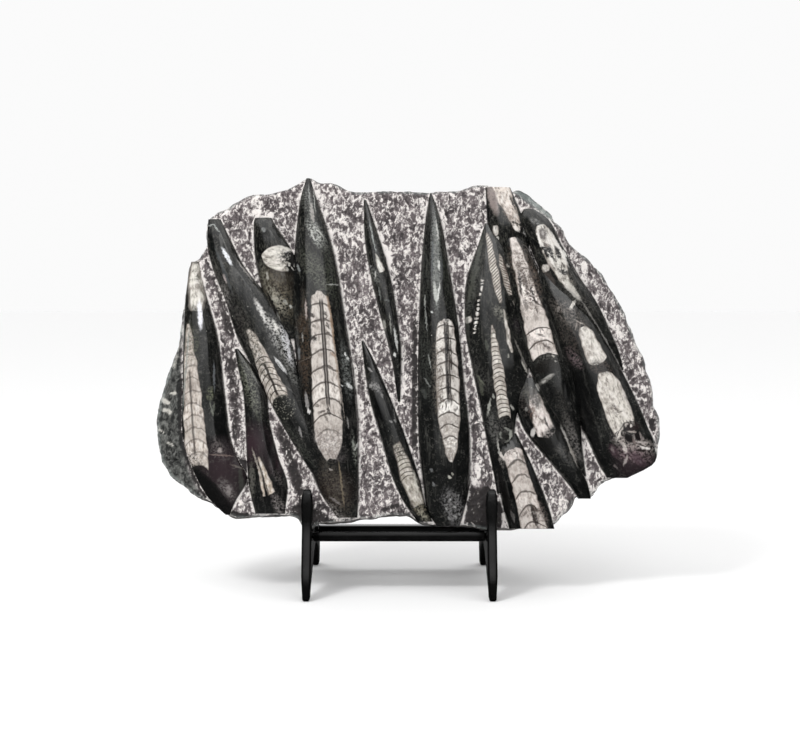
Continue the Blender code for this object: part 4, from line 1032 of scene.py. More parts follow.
def shell_section(tree, across, along, length, grain, shell):
    """How far inside the shell's sides and its whole edge a point is, and its place on the length."""
    widest = max(width for _, width in shell["widths"])
    part_way = add_node(tree, "Math", {0: along, 1: length}, operation="DIVIDE")
    half_width = add_node(tree, "FloatCurve", {"Value": part_way})
    curve = half_width.mapping.curves[0]
    curve.points[0].location = (0.0, shell["widths"][0][1] / widest)
    curve.points[1].location = (1.0, shell["widths"][-1][1] / widest)
    for at, width in shell["widths"][1:-1]:
        curve.points.new(at, width / widest)
    half_width.mapping.update()
    from_axis = add_node(tree, "Math", {0: across}, operation="ABSOLUTE")
    edge = add_node(tree, "Math", {0: half_width, 1: widest}, operation="MULTIPLY")
    edge = add_node(tree, "Math", {0: edge, 1: from_axis}, operation="SUBTRACT")
    ragged = add_node(tree, "Math", {0: grain["lumps"], 1: shell.get("ragged", 0.6)}, operation="MULTIPLY")
    from_foot = add_node(tree, "Math", {0: along, 1: ragged}, operation="ADD")
    from_tip = add_node(tree, "Math", {0: length, 1: from_foot}, operation="SUBTRACT")
    ends = add_node(tree, "Math", {0: from_foot, 1: from_tip}, operation="MINIMUM")
    depth = add_node(tree, "Math", {0: edge, 1: ends}, operation="MINIMUM")
    if "beads" in shell:
        uneven = add_node(tree, "Math", {0: grain["patches"], 1: 9.0, 2: along}, operation="MULTIPLY_ADD")
        wave = add_node(tree, "Math", {0: uneven, 1: shell["beads"] / 2}, operation="PINGPONG")
        pinch = add_node(tree, "MapRange", {"Value": wave, "From Max": 1.1, "To Min": 2.6, "To Max": 0.0})
        depth = add_node(tree, "Math", {0: depth, 1: pinch}, operation="SUBTRACT")
    return edge, depth, part_way


def shell_calcite(tree, local, part_way, grain, shell):
    """The layers of white and stained crystals that fill a shell."""
    fibres = add_node(tree, "Mapping", {"Vector": local, "Scale": (1.0, 0.35, 1.0)})
    crystals = add_node(tree, "TexNoise", {"Vector": fibres, "Scale": 0.55, "Detail": 4.0, "Roughness": 0.65})
    stained = min(1.0, 3.2 * shell.get("grime", 0.2))
    shade = {"Value": grain["patches"], "From Min": 0.44, "From Max": 0.66, "To Max": 0.85}
    white = {"Value": crystals, "From Min": 0.48, "From Max": 0.62, "To Max": 0.7}
    dirt = {"Value": crystals, "From Min": 0.46, "From Max": 0.34, "To Max": stained}
    layers = []
    for part, tint in ((shade, SHELL_SHADE), (white, "#f1ece6"), (dirt, SHELL_DIRT)):
        layers.append((add_node(tree, "MapRange", part), tint))
    if "dull_foot" in shell:
        end = shell["dull_foot"]
        fading = {"Value": part_way, "From Min": end + 0.04, "From Max": end - 0.04, "To Max": 0.6}
        low = add_node(tree, "MapRange", fading)
        grey = add_node(tree, "MapRange", {"Value": grain["crystals"], "From Min": 0.58, "From Max": 0.42})
        layers.append((add_node(tree, "Math", {0: low, 1: grey}, operation="MULTIPLY"), "#6f6663"))
    return layers


def chamber_walls(tree, across, along, part_way, grain, shell):
    """Layers for the chambers, each of its own tone, and for the thin dark walls between them."""
    spacing = shell["chamber"]
    bent = add_node(tree, "Math", {0: across, 1: shell.get("slant", 0.0), 2: along}, operation="MULTIPLY_ADD")
    bent = add_node(tree, "Math", {0: grain["lumps"], 1: 0.09 * spacing, 2: bent}, operation="MULTIPLY_ADD")
    bent = add_node(tree, "Math", {0: bent, 1: shell.get("phase", 0.0)}, operation="SUBTRACT")
    number = add_node(tree, "Math", {0: bent, 1: spacing}, operation="DIVIDE")
    number = add_node(tree, "Math", {0: number}, operation="FLOOR")
    tone = add_node(tree, "TexWhiteNoise", {"W": number}, noise_dimensions="1D").outputs["Value"]
    tone = add_node(tree, "MapRange", {"Value": tone, "To Max": 0.5})
    wave = add_node(tree, "Math", {0: bent, 1: spacing / 2}, operation="PINGPONG")
    thick = 0.2 + 0.026 * spacing
    darkness = shell.get("wall", 0.85)
    line = {"Value": wave, "From Min": thick, "From Max": 2.0 * thick, "To Min": darkness, "To Max": 0.0}
    wall = add_node(tree, "MapRange", line)
    first, last = shell.get("walled", (-1.0, 2.0))
    for end, beyond in ((first, first + 0.02), (last, last - 0.02)):
        within = add_node(tree, "MapRange", {"Value": part_way, "From Min": end, "From Max": beyond})
        wall = add_node(tree, "Math", {0: wall, 1: within}, operation="MULTIPLY")
    return [(tone, "#a79e96"), (wall, CHAMBER_WALL)]


def shell_rim(tree, across, edge, part_way, shell):
    """The layer for the outer wall of the shell, a darker line along its edge."""
    if "rim" not in shell:
        line = add_node(tree, "MapRange", {"Value": edge, "From Min": 0.9, "From Max": 0.4, "To Max": 0.6})
        return [(line, SHELL_SHADE)]
    on_right = add_node(tree, "MapRange", {"Value": across, "From Min": 1.0, "From Max": 3.0})
    upper = add_node(tree, "MapRange", {"Value": part_way, "From Min": 0.35, "From Max": 0.6})
    line = add_node(tree, "MapRange", {"Value": edge, "From Min": 1.3, "From Max": 0.7, "To Max": 0.7})
    for part in (on_right, upper):
        line = add_node(tree, "Math", {0: line, 1: part}, operation="MULTIPLY")
    return [(line, shell["rim"])]


def shell_tube(tree, across, part_way, grain, shell):
    """Layers for the siphuncle, the tube through the chambers: its grey filling and its dark skin."""
    offset, start, end, radius = shell["tube"]
    drift = add_node(tree, "Math", {0: grain["lumps"], 1: 0.5, 2: offset}, operation="MULTIPLY_ADD")
    aside = add_node(tree, "Math", {0: across, 1: drift}, operation="SUBTRACT")
    aside = add_node(tree, "Math", {0: aside}, operation="ABSOLUTE")
    ring = add_node(tree, "Math", {0: aside, 1: radius}, operation="SUBTRACT")
    ring = add_node(tree, "Math", {0: ring}, operation="ABSOLUTE")
    lower = add_node(tree, "MapRange", {"Value": part_way, "From Min": start, "From Max": start + 0.03})
    upper = add_node(tree, "MapRange", {"Value": part_way, "From Min": end, "From Max": end - 0.03})
    within = add_node(tree, "Math", {0: lower, 1: upper}, operation="MULTIPLY")
    filled = {"Value": aside, "From Min": radius, "From Max": 0.6 * radius, "To Max": 0.8}
    lined = {"Value": ring, "From Min": 0.8, "From Max": 0.35, "To Max": shell.get("wall", 0.95)}
    layers = []
    for part, tint in ((filled, "#5f5853"), (lined, "#251f1c")):
        amount = add_node(tree, "MapRange", part)
        layers.append((add_node(tree, "Math", {0: amount, 1: within}, operation="MULTIPLY"), tint))
    return layers


def lay_shell(tree, place, grain, shell, stone):
    """Lays one shell, cut open by the polishing, over the stone, and returns (colour, where it lies)."""
    foot, tip = Vector(shell["foot"]), Vector(shell["tip"])
    length = (tip - foot).length
    tilt = math.atan2(tip.x - foot.x, tip.y - foot.y)
    origin = Matrix.Rotation(tilt, 3, "Z") @ foot.to_3d()
    local = add_node(tree, "Mapping", {"Vector": place, "Location": -origin, "Rotation": (0.0, 0.0, tilt)})
    split = add_node(tree, "SeparateXYZ", {0: local})
    across, along = split.outputs["X"], split.outputs["Y"]
    squared = add_node(tree, "Math", {0: across, 1: across}, operation="MULTIPLY")
    along = add_node(tree, "Math", {0: squared, 1: shell.get("bow", 0.0), 2: along}, operation="MULTIPLY_ADD")
    edge, depth, part_way = shell_section(tree, across, along, length, grain, shell)

    layers = shell_calcite(tree, local, part_way, grain, shell)
    if "chamber" in shell:
        layers += chamber_walls(tree, across, along, part_way, grain, shell)
    layers += shell_rim(tree, across, edge, part_way, shell)
    if "tube" in shell:
        layers += shell_tube(tree, across, part_way, grain, shell)
    blur = shell.get("blur", 0.35)
    here = add_node(tree, "MapRange", {"Value": depth, "From Min": -blur, "From Max": blur})
    return layered(tree, stone, [(here, layered(tree, shell["tone"], layers))]), here


def lay_stroke(tree, place, stroke, colour, texture, fade):
    """Lays one long spot over the colour, broken up by the texture and faded at its edge."""
    start, end, half_width, tint, amount = stroke
    run = Vector(end) - Vector(start)
    spot = {
        "Vector": place,
        "Location": ((Vector(start) + Vector(end)) / 2).to_3d(),
        "Rotation": (0.0, 0.0, math.atan2(-run.x, run.y)),
        "Scale": (half_width, run.length / 2 + 0.3 * half_width, 1000.0),
    }
    local = add_node(tree, "Mapping", spot, vector_type="TEXTURE")
    away = add_node(tree, "VectorMath", {0: local}, operation="LENGTH").outputs["Value"]
    edge = {"Value": away, "From Min": 1.0 + fade, "From Max": 1.0 - fade, "To Max": amount}
    here = add_node(tree, "MapRange", edge)
    here = add_node(tree, "Math", {0: here, 1: texture}, operation="MULTIPLY")
    return layered(tree, colour, [(here, tint)])


def round_sections(tree, place, grain, fossil):
    """Layers for shells cut straight across: frothy discs and thin rings."""
    layers = []
    for (u, v), radius in fossil.get("bubbles", []):
        middle = (u, v, DISC_HEIGHT)
        away = add_node(tree, "VectorMath", {0: place, 1: middle}, operation="DISTANCE").outputs["Value"]
        disc = {"Value": away, "From Min": radius, "From Max": radius - 0.8, "To Max": 0.9}
        froth = {"Value": grain["crystals"], "From Min": 0.54, "From Max": 0.64, "To Max": 0.75}
        filling = layered(tree, "#1e1f1d", [(add_node(tree, "MapRange", froth), "#8c8a80")])
        layers.append((add_node(tree, "MapRange", disc), filling))
    for (u, v), radius in fossil.get("rings", []):
        middle = (u, v, DISC_HEIGHT)
        away = add_node(tree, "VectorMath", {0: place, 1: middle}, operation="DISTANCE").outputs["Value"]
        away = add_node(tree, "Math", {0: away, 1: radius}, operation="SUBTRACT")
        away = add_node(tree, "Math", {0: away}, operation="ABSOLUTE")
        ring = add_node(tree, "MapRange", {"Value": away, "From Min": 0.8, "From Max": 0.2, "To Max": 0.8})
        layers.append((ring, "#b4b0a9"))
    return layers


def polished_fossil(fossil):
    """Black limestone and calcite shell, ground wet and buffed: glossy, the shell a little less."""
    material, tree, shader = new_material("polished_orthoceras_" + fossil["name"], IOR=STONE_IOR)
    place = slab_place(tree)
    lumps = add_node(tree, "TexNoise", {"Vector": place, "Scale": 0.12, "Detail": 2.0})
    lumps = add_node(tree, "MapRange", {"Value": lumps, "From Min": 0.25, "From Max": 0.75, "To Min": -1.0})
    patches = add_node(tree, "TexNoise", {"Vector": place, "Scale": 0.16, "Detail": 3.0, "Roughness": 0.65})
    crystals = add_node(tree, "TexNoise", {"Vector": place, "Scale": 0.62, "Detail": 3.0, "Roughness": 0.6})
    grain = {"lumps": lumps, "patches": patches, "crystals": crystals}
    sway = add_node(tree, "VectorMath", {0: (0.8, 0.5, 0.0), "Scale": lumps}, operation="SCALE")
    swayed = add_node(tree, "VectorMath", {0: place, 1: sway}, operation="ADD")
    colour = polished_black(tree, place, fossil)
    covered = None
    for shell in fossil["shells"]:
        colour, here = lay_shell(tree, swayed, grain, shell, colour)
        covered = add_node(tree, "Math", {0: covered, 1: here}, operation="MAXIMUM") if covered else here

    fray = add_node(tree, "TexNoise", {"Vector": place, "Scale": 0.5, "Detail": 3.0, "Roughness": 0.65})
    fray = add_node(tree, "VectorMath", {0: fray.outputs["Color"], 1: (0.5, 0.5, 0.5)}, operation="SUBTRACT")
    frayed = add_node(tree, "VectorMath", {0: fray, 1: (3.2, 3.2, 0.0), 2: place}, operation="MULTIPLY_ADD")
    tangle = {"Vector": place, "Scale": 0.6, "Detail": 4.0, "Roughness": 0.7, "Distortion": 0.3}
    debris = add_node(tree, "TexNoise", tangle)
    mottle = add_node(tree, "MapRange", {"Value": debris, "From Min": 0.4, "From Max": 0.5, "To Min": 0.65})
    net = add_node(tree, "MapRange", {"Value": debris, "From Min": 0.44, "From Max": 0.6})
    # Some nets and strokes are painted highlights, painted reflection and painted shade, as marked in the
    # fossil list.
    for texture, fade, marks in ((net, 0.4, fossil["nets"]), (mottle, 0.25, fossil["strokes"])):
        for mark in marks:
            colour = lay_stroke(tree, frayed, mark, colour, texture, fade)
    colour = layered(tree, colour, round_sections(tree, swayed, grain, fossil))

    buffed = {"Value": grain["patches"], "From Min": 0.3, "From Max": 0.7, "To Min": 0.09, "To Max": 0.18}
    wear = add_node(tree, "MapRange", buffed)
    gloss = add_node(tree, "Math", {0: covered, 1: 0.12, 2: wear}, operation="MULTIPLY_ADD")
    lengthwise = add_node(tree, "Mapping", {"Vector": place, "Scale": (1.0, 0.12, 1.0)})
    facets = add_node(tree, "TexNoise", {"Vector": lengthwise, "Scale": 0.16, "Detail": 1.0})
    finish_surface(tree, shader, colour, gloss, facets, 1.0, 0.0009)
    return material


def pecked_ground():
    """Limestone crushed white by a pointed tool over its own dark mauve: matt, with a pit every 3 mm."""
    material, tree, shader = new_material("pecked_limestone", IOR=STONE_IOR)
    place = slab_place(tree)
    mapped = {}
    for name in ("marks", "border", "worn", "rim", "tone"):
        mapped[name] = add_node(tree, "Attribute", {}, attribute_name=name).outputs["Fac"]
    drift = add_node(tree, "TexNoise", {"Vector": place, "Scale": 0.045, "Detail": 2.0})
    pale = add_node(tree, "MapRange", {"Value": drift, "From Min": 0.35, "From Max": 0.65})
    # Darker stone and painted shade: where the mapped tone is below 0 the ground goes dark brown.
    dark_tone_and_shade = add_node(tree, "MapRange", {"Value": mapped["tone"], "From Max": -1.0, "To Max": 0.85})

    # How hard each spot was struck, and painted shade: by the pits, left darker than the tops between them,
    # the crumbs, the rims of the cones and the mapped tone
    pecks = add_node(tree, "Mapping", {"Vector": place, "Scale": (1.0, 0.62, 1.0)})
    pitted = {"Vector": pecks, "Scale": 0.33, "Detail": 2.0, "Roughness": 0.6, "Distortion": 0.9}
    bruise_and_shade = add_node(tree, "TexNoise", pitted)
    crumbs = add_node(tree, "TexNoise", {"Vector": place, "Scale": 0.95, "Detail": 2.0, "Roughness": 0.6})
    for part, share in ((mapped["marks"], 0.13), (crumbs, 0.35), (drift, 0.2)):
        bruise_and_shade = add_node(tree, "Math", {0: part, 1: share, 2: bruise_and_shade}, operation="MULTIPLY_ADD")
    rim = {"Value": mapped["rim"], "From Min": 2.2, "From Max": 0.8, "To Max": 0.13}
    bruise_and_shade = add_node(tree, "Math", {0: bruise_and_shade, 1: add_node(tree, "MapRange", rim)}, operation="ADD")
    bruise_and_shade = add_node(tree, "Math", {0: mapped["tone"], 1: 0.13, 2: bruise_and_shade}, operation="MULTIPLY_ADD")

    white = add_node(tree, "MapRange", {"Value": bruise_and_shade, "From Min": 0.77, "From Max": 0.95})
    worked = add_node(tree, "Math", {0: 1.0, 1: mapped["border"]}, operation="SUBTRACT")
    white = add_node(tree, "Math", {0: white, 1: worked}, operation="MULTIPLY")
    dark = add_node(tree, "MapRange", {"Value": bruise_and_shade, "From Min": 0.71, "From Max": 0.58, "To Max": 0.85})
    rock = add_node(tree, "MapRange", {"Value": bruise_and_shade, "From Min": 0.66, "From Max": 0.98})
    scuffed = add_node(tree, "Math", {0: mapped["tone"], 1: rock}, operation="MULTIPLY", use_clamp=True)
    weathered = layered(tree, "#252625", [(rock, "#747571"), (scuffed, "#c6c3bb")])
    broken = layered(tree, "#6f7573", [(rock, "#aeb3b0")])
    stone = [(pale, "#766d6e"), (dark_tone_and_shade, "#2c2825"), (white, "#f4eeea"), (dark, "#2b2728")]
    colour = layered(tree, "#554e4f", [*stone, (mapped["border"], weathered), (mapped["worn"], broken)])
    dusty = {"Value": crumbs, "From Min": 0.3, "From Max": 0.7, "To Min": 0.55, "To Max": 0.85}
    finish_surface(tree, shader, colour, add_node(tree, "MapRange", dusty), bruise_and_shade, 0.8, 0.0012)
    return material


def broken_side():
    """The same limestone broken with a hammer: dull, uneven and a little lighter where it is bruised."""
    material, tree, shader = new_material("broken_limestone", IOR=STONE_IOR)
    place = slab_place(tree)
    lumps = add_node(tree, "TexNoise", {"Vector": place, "Scale": 0.14, "Detail": 5.0, "Roughness": 0.62})
    shade = add_node(tree, "MapRange", {"Value": lumps, "From Min": 0.35, "From Max": 0.68})
    dull = add_node(tree, "MapRange", {"Value": lumps, "To Min": 0.6, "To Max": 0.9})
    finish_surface(tree, shader, layered(tree, "#3b3938", [(shade, "#8a8784")]), dull, lumps, 0.7, 0.003)
    return material


def sawn_back():
    """The back as the block saw left it: flat and matt, with faint curved saw lines 1 to 2 mm apart."""
    material, tree, shader = new_material("sawn_limestone", IOR=STONE_IOR)
    place = slab_place(tree)
    arcs = {"Vector": place, "Scale": 0.19, "Distortion": 1.5, "Detail": 3.0, "Detail Scale": 0.4}
    lines = add_node(tree, "TexWave", arcs, wave_type="RINGS", rings_direction="Z")
    clouds = add_node(tree, "TexNoise", {"Vector": place, "Scale": 0.03, "Detail": 4.0, "Roughness": 0.6})
    shade = add_node(tree, "MapRange", {"Value": clouds, "From Min": 0.35, "From Max": 0.65})
    scored = add_node(tree, "MapRange", {"Value": lines, "To Max": 0.25})
    colour = layered(tree, "#3f3d3b", [(shade, "#5c5956"), (scored, "#7c7976")])
    dull = add_node(tree, "MapRange", {"Value": lines, "To Min": 0.55, "To Max": 0.75})
    finish_surface(tree, shader, colour, dull, lines, 0.4, 0.0003)
    return material


SOFT_EDGE = math.radians(42.0)  # the stone looks smooth where its faces meet at less than this

slab = make_ground([pecked_ground(), sawn_back()])
apply_boolean(slab, make_sides(broken_side()), "INTERSECT")
for number, fossil in enumerate(FOSSILS):
    apply_boolean(slab, make_cone(number, fossil, polished_fossil(fossil)), "UNION")
slab.data.transform(SLAB_FRAME)
only_select(slab)
bpy.ops.object.shade_smooth_by_angle(angle=SOFT_EDGE)
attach(slab, "root")
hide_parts("fossil_slab")

# ---------------------------------------------------------------------------------------------------
# The stand's two side arms: hardwood board sawn to shape, its edges rounded over with a router, then
# sprayed with black gloss lacquer. Each is drilled and counterbored for three screws, and the slab
# leans in the slot between its upright and its leaf-shaped front finger.
# ---------------------------------------------------------------------------------------------------
GAP = 0.3  # the play between pieces that fit together
LEDGE = -4.0 - GAP  # the v of the ledges that the slab rests on
ARM_X = {"left": -74.0, "right": 62.5}
ARM_THICKNESS = 7.2
FOOT_THICKNESS = 5.4
FINGER_THICKNESS = 8.8
FINGER_INNER = 4.5  # the w of the finger's side that faces the slab
FINGER_RADIUS = 4.75
FINGER_TOP = 21.0
FINGER_WIDEST = 14.0
FINGER_LENGTH = 12.5
UPRIGHT_DEPTH = 13.0
UPRIGHT_TOP = 144.0
TOE = 80.0  # how far in front and behind the feet end
SOLE = 12.0
CORNER = 1.5
ROUTED_RADIUS = 1.5
SHARP_EDGE = math.radians(60.0)
SCREW_RADIUS = 1.5
HEAD_RADIUS = 3.0
HEAD_HEIGHT = 1.8
HEAD_SINK = 0.2
SCREW_GRIP = 12.0  # how deep a screw goes into its rail
ROUND_SIDES = 32
RAIL_ENDS = (ARM_X["left"] + ARM_THICKNESS / 2 + GAP, ARM_X["right"] - ARM_THICKNESS / 2 - GAP)


def side_point(v, w):
    """Where a point of the slab's frame lies when seen from the side, as (y, z)."""
    return (
        FACE_FOOT.y + v * math.sin(LEAN) - w * math.cos(LEAN),
        FACE_FOOT.z + v * math.cos(LEAN) + w * math.sin(LEAN),
    )


# Each rail's centre as (y, z), its height, its depth and how far it leans back
RAILS = {
    "ledge": (side_point(-8.6, -10.0), 6.6, 12.0, LEAN),
    "back": (side_point(100.0, -33.8), 14.0, 9.0, LEAN),
    "foot": ((46.0, 32.0), 9.0, 12.0, 0.0),
}


def pull_curve(start, start_pull, end_pull, end, steps=20):
    """Points along a cubic curve, without its first one."""
    t = np.arange(1, steps + 1)[:, None] / steps
    ends = (1 - t) ** 3 * np.array(start) + t**3 * np.array(end)
    pulls = (1 - t) * np.array(start_pull) + t * np.array(end_pull)
    return list(map(tuple, ends + 3 * t * (1 - t) * pulls))


def round_top(v, w, radius, steps=16):
    """A half circle over the top of a finger or an upright, from its back to its front."""
    angles = [math.pi * (1.0 - step / steps) for step in range(steps + 1)]
    return [side_point(v + radius * math.sin(a), w + radius * math.cos(a)) for a in angles]


def arm_outline():
    """The arm from the side as (y, z): slot, finger, front foot, arch, rear foot and upright."""
    back = SLAB_BACK - GAP
    heel = back - UPRIGHT_DEPTH
    front = FINGER_INNER + 2 * FINGER_RADIUS
    shin = side_point(4.0, front)
    line = [side_point(LEDGE, back), side_point(LEDGE, FINGER_INNER), side_point(FINGER_WIDEST, FINGER_INNER)]
    line += round_top(FINGER_TOP, FINGER_INNER + FINGER_RADIUS, FINGER_RADIUS)
    line += [side_point(FINGER_WIDEST, front), side_point(9.0, front), shin]
    line += pull_curve(shin, side_point(-22.0, front), (3.0 - TOE, 24.0), (-TOE, CORNER))
    line += [(CORNER - TOE, 0.0), (SOLE - TOE, 0.0)]
    line += pull_curve((SOLE - TOE, 0.0), (-36.0, 44.0), (50.0, 34.0), (TOE - SOLE, 0.0), 32)
    line += [(TOE - CORNER, 0.0), (TOE, CORNER)]
    line += pull_curve((TOE, CORNER), (60.0, 40.0), side_point(50.0, heel), side_point(95.0, heel), 28)
    line += round_top(UPRIGHT_TOP, back - UPRIGHT_DEPTH / 2, UPRIGHT_DEPTH / 2)
    return line


def arm_thickness(y, z):
    """Thinner at the feet, and swelling to a leaf shape at the finger."""
    v = (y - FACE_FOOT.y) * math.sin(LEAN) + (z - FACE_FOOT.z) * math.cos(LEAN)
    w = (FACE_FOOT.y - y) * math.cos(LEAN) + (z - FACE_FOOT.z) * math.sin(LEAN)
    thickness = FOOT_THICKNESS + (ARM_THICKNESS - FOOT_THICKNESS) * ease(0.0, 20.0, z)
    above = np.clip((v - FINGER_WIDEST) / FINGER_LENGTH, 0.0, 1.0)
    below = ease(0.0, 18.0, FINGER_WIDEST - v)
    leaf = FINGER_THICKNESS * (1.0 - 0.45 * above**2)
    return thickness + ease(1.0, 4.0, w) * (leaf - thickness) * (1.0 - below)


def drill(piece, x_low, x_high, centre, radius):
    """Cuts a round hole along X."""
    middle = ((x_low + x_high) / 2, *centre)
    along_x = (0.0, math.pi / 2, 0.0)
    bpy.ops.object.select_all(action="DESELECT")
    bpy.ops.mesh.primitive_cylinder_add(
        vertices=ROUND_SIDES, radius=radius, depth=x_high - x_low, location=middle, rotation=along_x
    )
    tool = bpy.context.object
    bpy.ops.object.transform_apply(location=True, rotation=True, scale=True)
    tool.data.materials.append(piece.data.materials[0])
    apply_boolean(piece, tool, "DIFFERENCE")


def soften(piece, width, segments):
    """Rounds the sharp edges of a piece."""
    rounding = piece.modifiers.new("softened_edges", "BEVEL")
    rounding.width = width
    rounding.segments = segments
    rounding.limit_method = "ANGLE"
    rounding.angle_limit = SHARP_EDGE
    only_select(piece)
    bpy.ops.object.modifier_apply(modifier=rounding.name)


def make_arm(side, material):
    """One arm, cut out flat at the middle, rounded over, moved to its side and drilled."""
    outline = arm_outline()
    bpy.ops.object.select_all(action="DESELECT")
    bpy.ops.mesh.primitive_circle_add(vertices=len(outline), radius=1.0, fill_type="NGON")
    arm = bpy.context.object
    arm.name = f"lacquered_arm_{side}"
    arm.data.materials.append(material)
    write_points(arm, np.array([(0.5, y, z) for y, z in outline]))
    bpy.ops.object.mode_set(mode="EDIT")
    bpy.ops.mesh.select_all(action="SELECT")
    bpy.ops.mesh.extrude_region_move(TRANSFORM_OT_translate={"value": (-1.0, 0.0, 0.0)})
    bpy.ops.mesh.select_all(action="SELECT")
    bpy.ops.mesh.normals_make_consistent(inside=False)
    bpy.ops.object.mode_set(mode="OBJECT")
    points = read_points(arm)
    points[:, 0] *= arm_thickness(points[:, 1], points[:, 2])
    write_points(arm, points)
    soften(arm, ROUTED_RADIUS, 4)
    write_points(arm, read_points(arm) + (ARM_X[side], 0.0, 0.0))
    outwards = -1.0 if side == "left" else 1.0
    for centre, _, _, _ in RAILS.values():
        face = ARM_X[side] + outwards * ARM_THICKNESS / 2
        step = face - outwards * (HEAD_SINK + HEAD_HEIGHT + GAP)
        inside = face - outwards * (ARM_THICKNESS + 1.0)
        drill(arm, *sorted((step, face + outwards)), centre, HEAD_RADIUS + GAP)
        drill(arm, *sorted((inside, step + 0.5 * outwards)), centre, SCREW_RADIUS + GAP)
    return arm


LACQUER_IOR = 1.38


def gloss_lacquer():
    """Black lacquer sprayed on wood and left to flow out: a deep gloss with orange peel and dust."""
    material, tree, shader = new_material("black_gloss_lacquer", IOR=LACQUER_IOR)
    place = add_node(tree, "TexCoord", {}).outputs["Object"]
    haze = add_node(tree, "TexNoise", {"Vector": place, "Scale": 60.0, "Detail": 3.0})
    shade = add_node(tree, "MapRange", {"Value": haze, "From Min": 0.35, "From Max": 0.7})
    dust = add_node(tree, "TexNoise", {"Vector": place, "Scale": 900.0, "Detail": 2.0})
    settled = add_node(tree, "MapRange", {"Value": dust, "From Min": 0.66, "From Max": 0.74, "To Max": 0.25})
    colour = layered(tree, "#030303", [(shade, "#0b0b0b"), (settled, "#4a4948")])
    flowed = {"Value": haze, "From Min": 0.3, "From Max": 0.7, "To Min": 0.05, "To Max": 0.15}
    peel = add_node(tree, "TexNoise", {"Vector": place, "Scale": 420.0, "Detail": 1.0})
    finish_surface(tree, shader, colour, add_node(tree, "MapRange", flowed), peel, 0.3, 0.00012)
    return material


SMOOTH_EDGE = math.radians(35.0)


def finish_piece(piece, node):
    """Turns a piece made in mm into metres, smooths it and hands it over in place of its CAD node."""
    piece.data.transform(Matrix.Scale(MM, 4))
    only_select(piece)
    bpy.ops.object.shade_smooth_by_angle(angle=SMOOTH_EDGE)
    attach(piece, "root")
    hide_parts(node)


lacquer = gloss_lacquer()
for side in ARM_X:
    finish_piece(make_arm(side, lacquer), f"stand_arm_{side}")

# ---------------------------------------------------------------------------------------------------
# The three rails that hold the arms apart: planed hardwood bars with softened edges and the same black
# lacquer. One runs under the slab, one behind it and one between the rear feet.
# ---------------------------------------------------------------------------------------------------
HOLE_DEPTH = 13.0  # of the screw holes in the ends of the rails
RAIL_RADIUS = 1.0

for name, (centre, height, depth, tilt) in RAILS.items():
    bpy.ops.object.select_all(action="DESELECT")
    bpy.ops.mesh.primitive_cube_add(size=1.0)
    rail = bpy.context.object
    rail.name = f"lacquered_{name}_rail"
    rail.data.materials.append(lacquer)
    write_points(rail, read_points(rail) * (RAIL_ENDS[1] - RAIL_ENDS[0], depth, height))
    soften(rail, RAIL_RADIUS, 3)
    rail.data.transform(Matrix.Translation((sum(RAIL_ENDS) / 2, *centre)) @ Matrix.Rotation(-tilt, 4, "X"))
    for end, inwards in zip(RAIL_ENDS, (1.0, -1.0)):
        drill(rail, *sorted((end - inwards, end + HOLE_DEPTH * inwards)), centre, SCREW_RADIUS + GAP)
    finish_piece(rail, f"{name}_rail")

# ---------------------------------------------------------------------------------------------------
# The six screws: small flush machine screws of blackened steel with a six-sided socket, turned from
# rod and driven through the arms into the ends of the rails. One is made, and the rest are copies.
# ---------------------------------------------------------------------------------------------------
SOCKET_RADIUS = 1.5
SOCKET_DEPTH = 1.2
POINT_LENGTH = 1.5
POINT_TAPER = 0.4
RIM_RADIUS = 0.2


def blackened_steel():
    """Steel screws blackened in a hot bath: dark grey metal with a soft sheen, paler where it was turned."""
    material, tree, shader = new_material("blackened_steel", Metallic=1.0)
    place = add_node(tree, "TexCoord", {}).outputs["Object"]
    mottle = add_node(tree, "TexNoise", {"Vector": place, "Scale": 1200.0, "Detail": 3.0})
    shade = add_node(tree, "MapRange", {"Value": mottle, "From Min": 0.35, "From Max": 0.7})
    sheen = add_node(tree, "MapRange", {"Value": mottle, "To Min": 0.28, "To Max": 0.5})
    finish_surface(tree, shader, layered(tree, "#2a2a2b", [(shade, "#4b4a49")]), sheen)
    return material


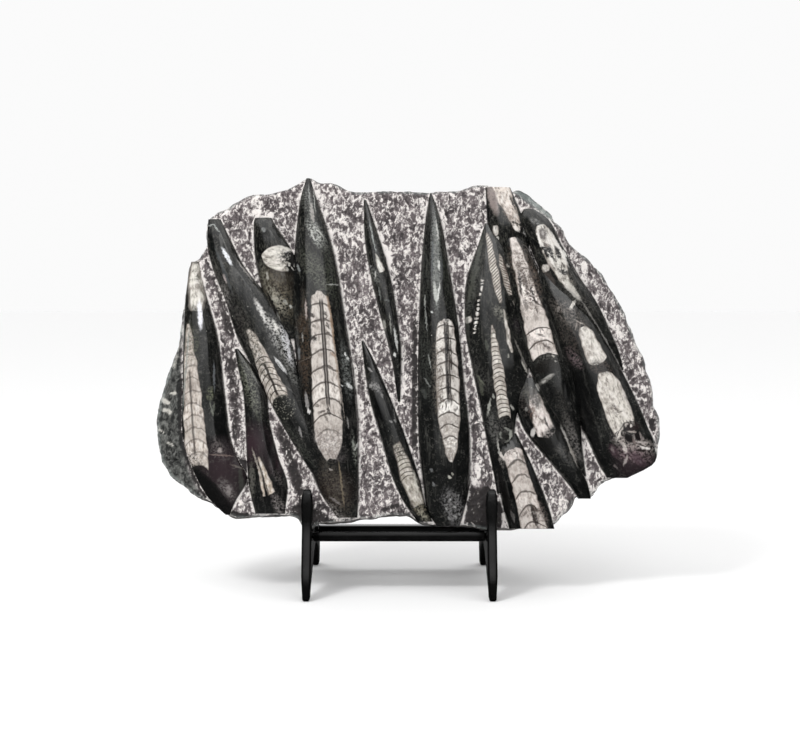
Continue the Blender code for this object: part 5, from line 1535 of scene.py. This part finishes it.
def make_screw(material):
    """A screw along X with the middle of its head's outer face at the origin, pointing to larger X."""
    shank = ARM_THICKNESS - HEAD_SINK + GAP + SCREW_GRIP - HEAD_HEIGHT - POINT_LENGTH
    bpy.ops.object.select_all(action="DESELECT")
    bpy.ops.mesh.primitive_cylinder_add(vertices=ROUND_SIDES, radius=HEAD_RADIUS, depth=HEAD_HEIGHT)
    screw = bpy.context.object
    screw.data.materials.append(material)
    write_points(screw, read_points(screw) + (0.0, 0.0, -HEAD_HEIGHT / 2))
    bpy.ops.object.mode_set(mode="EDIT")
    bpy.ops.mesh.select_mode(type="FACE")
    bpy.ops.object.mode_set(mode="OBJECT")
    for face in screw.data.polygons:
        face.select = face.normal.z < -0.9
    bpy.ops.object.mode_set(mode="EDIT")
    bpy.ops.mesh.inset(thickness=HEAD_RADIUS - SCREW_RADIUS)
    for stretch in (shank, POINT_LENGTH):
        bpy.ops.mesh.extrude_region_move(TRANSFORM_OT_translate={"value": (0.0, 0.0, -stretch)})
    bpy.ops.transform.resize(value=(POINT_TAPER, POINT_TAPER, 1.0), center_override=(0.0, 0.0, 0.0))
    bpy.ops.object.mode_set(mode="OBJECT")
    bpy.ops.object.select_all(action="DESELECT")
    bpy.ops.mesh.primitive_cylinder_add(vertices=6, radius=SOCKET_RADIUS, depth=2 * SOCKET_DEPTH)
    socket = bpy.context.object
    socket.data.materials.append(material)
    apply_boolean(screw, socket, "DIFFERENCE")
    soften(screw, RIM_RADIUS, 2)
    screw.data.transform(Matrix.Rotation(-math.pi / 2, 4, "Y"))
    return screw


first_screw = make_screw(blackened_steel())
for name, (centre, _, _, _) in RAILS.items():
    for side in ARM_X:
        screw = first_screw.copy()
        screw.data = first_screw.data.copy()
        screw.name = f"steel_screw_{name}_{side}"
        bpy.context.collection.objects.link(screw)
        inwards = 1.0 if side == "left" else -1.0
        head = ARM_X[side] - inwards * (ARM_THICKNESS / 2 - HEAD_SINK)
        facing = Matrix.Rotation(0.0 if side == "left" else math.pi, 4, "Z")
        screw.data.transform(Matrix.Translation((head, *centre)) @ facing)
        finish_piece(screw, f"screw_{name}_{side}")
bpy.data.objects.remove(first_screw)
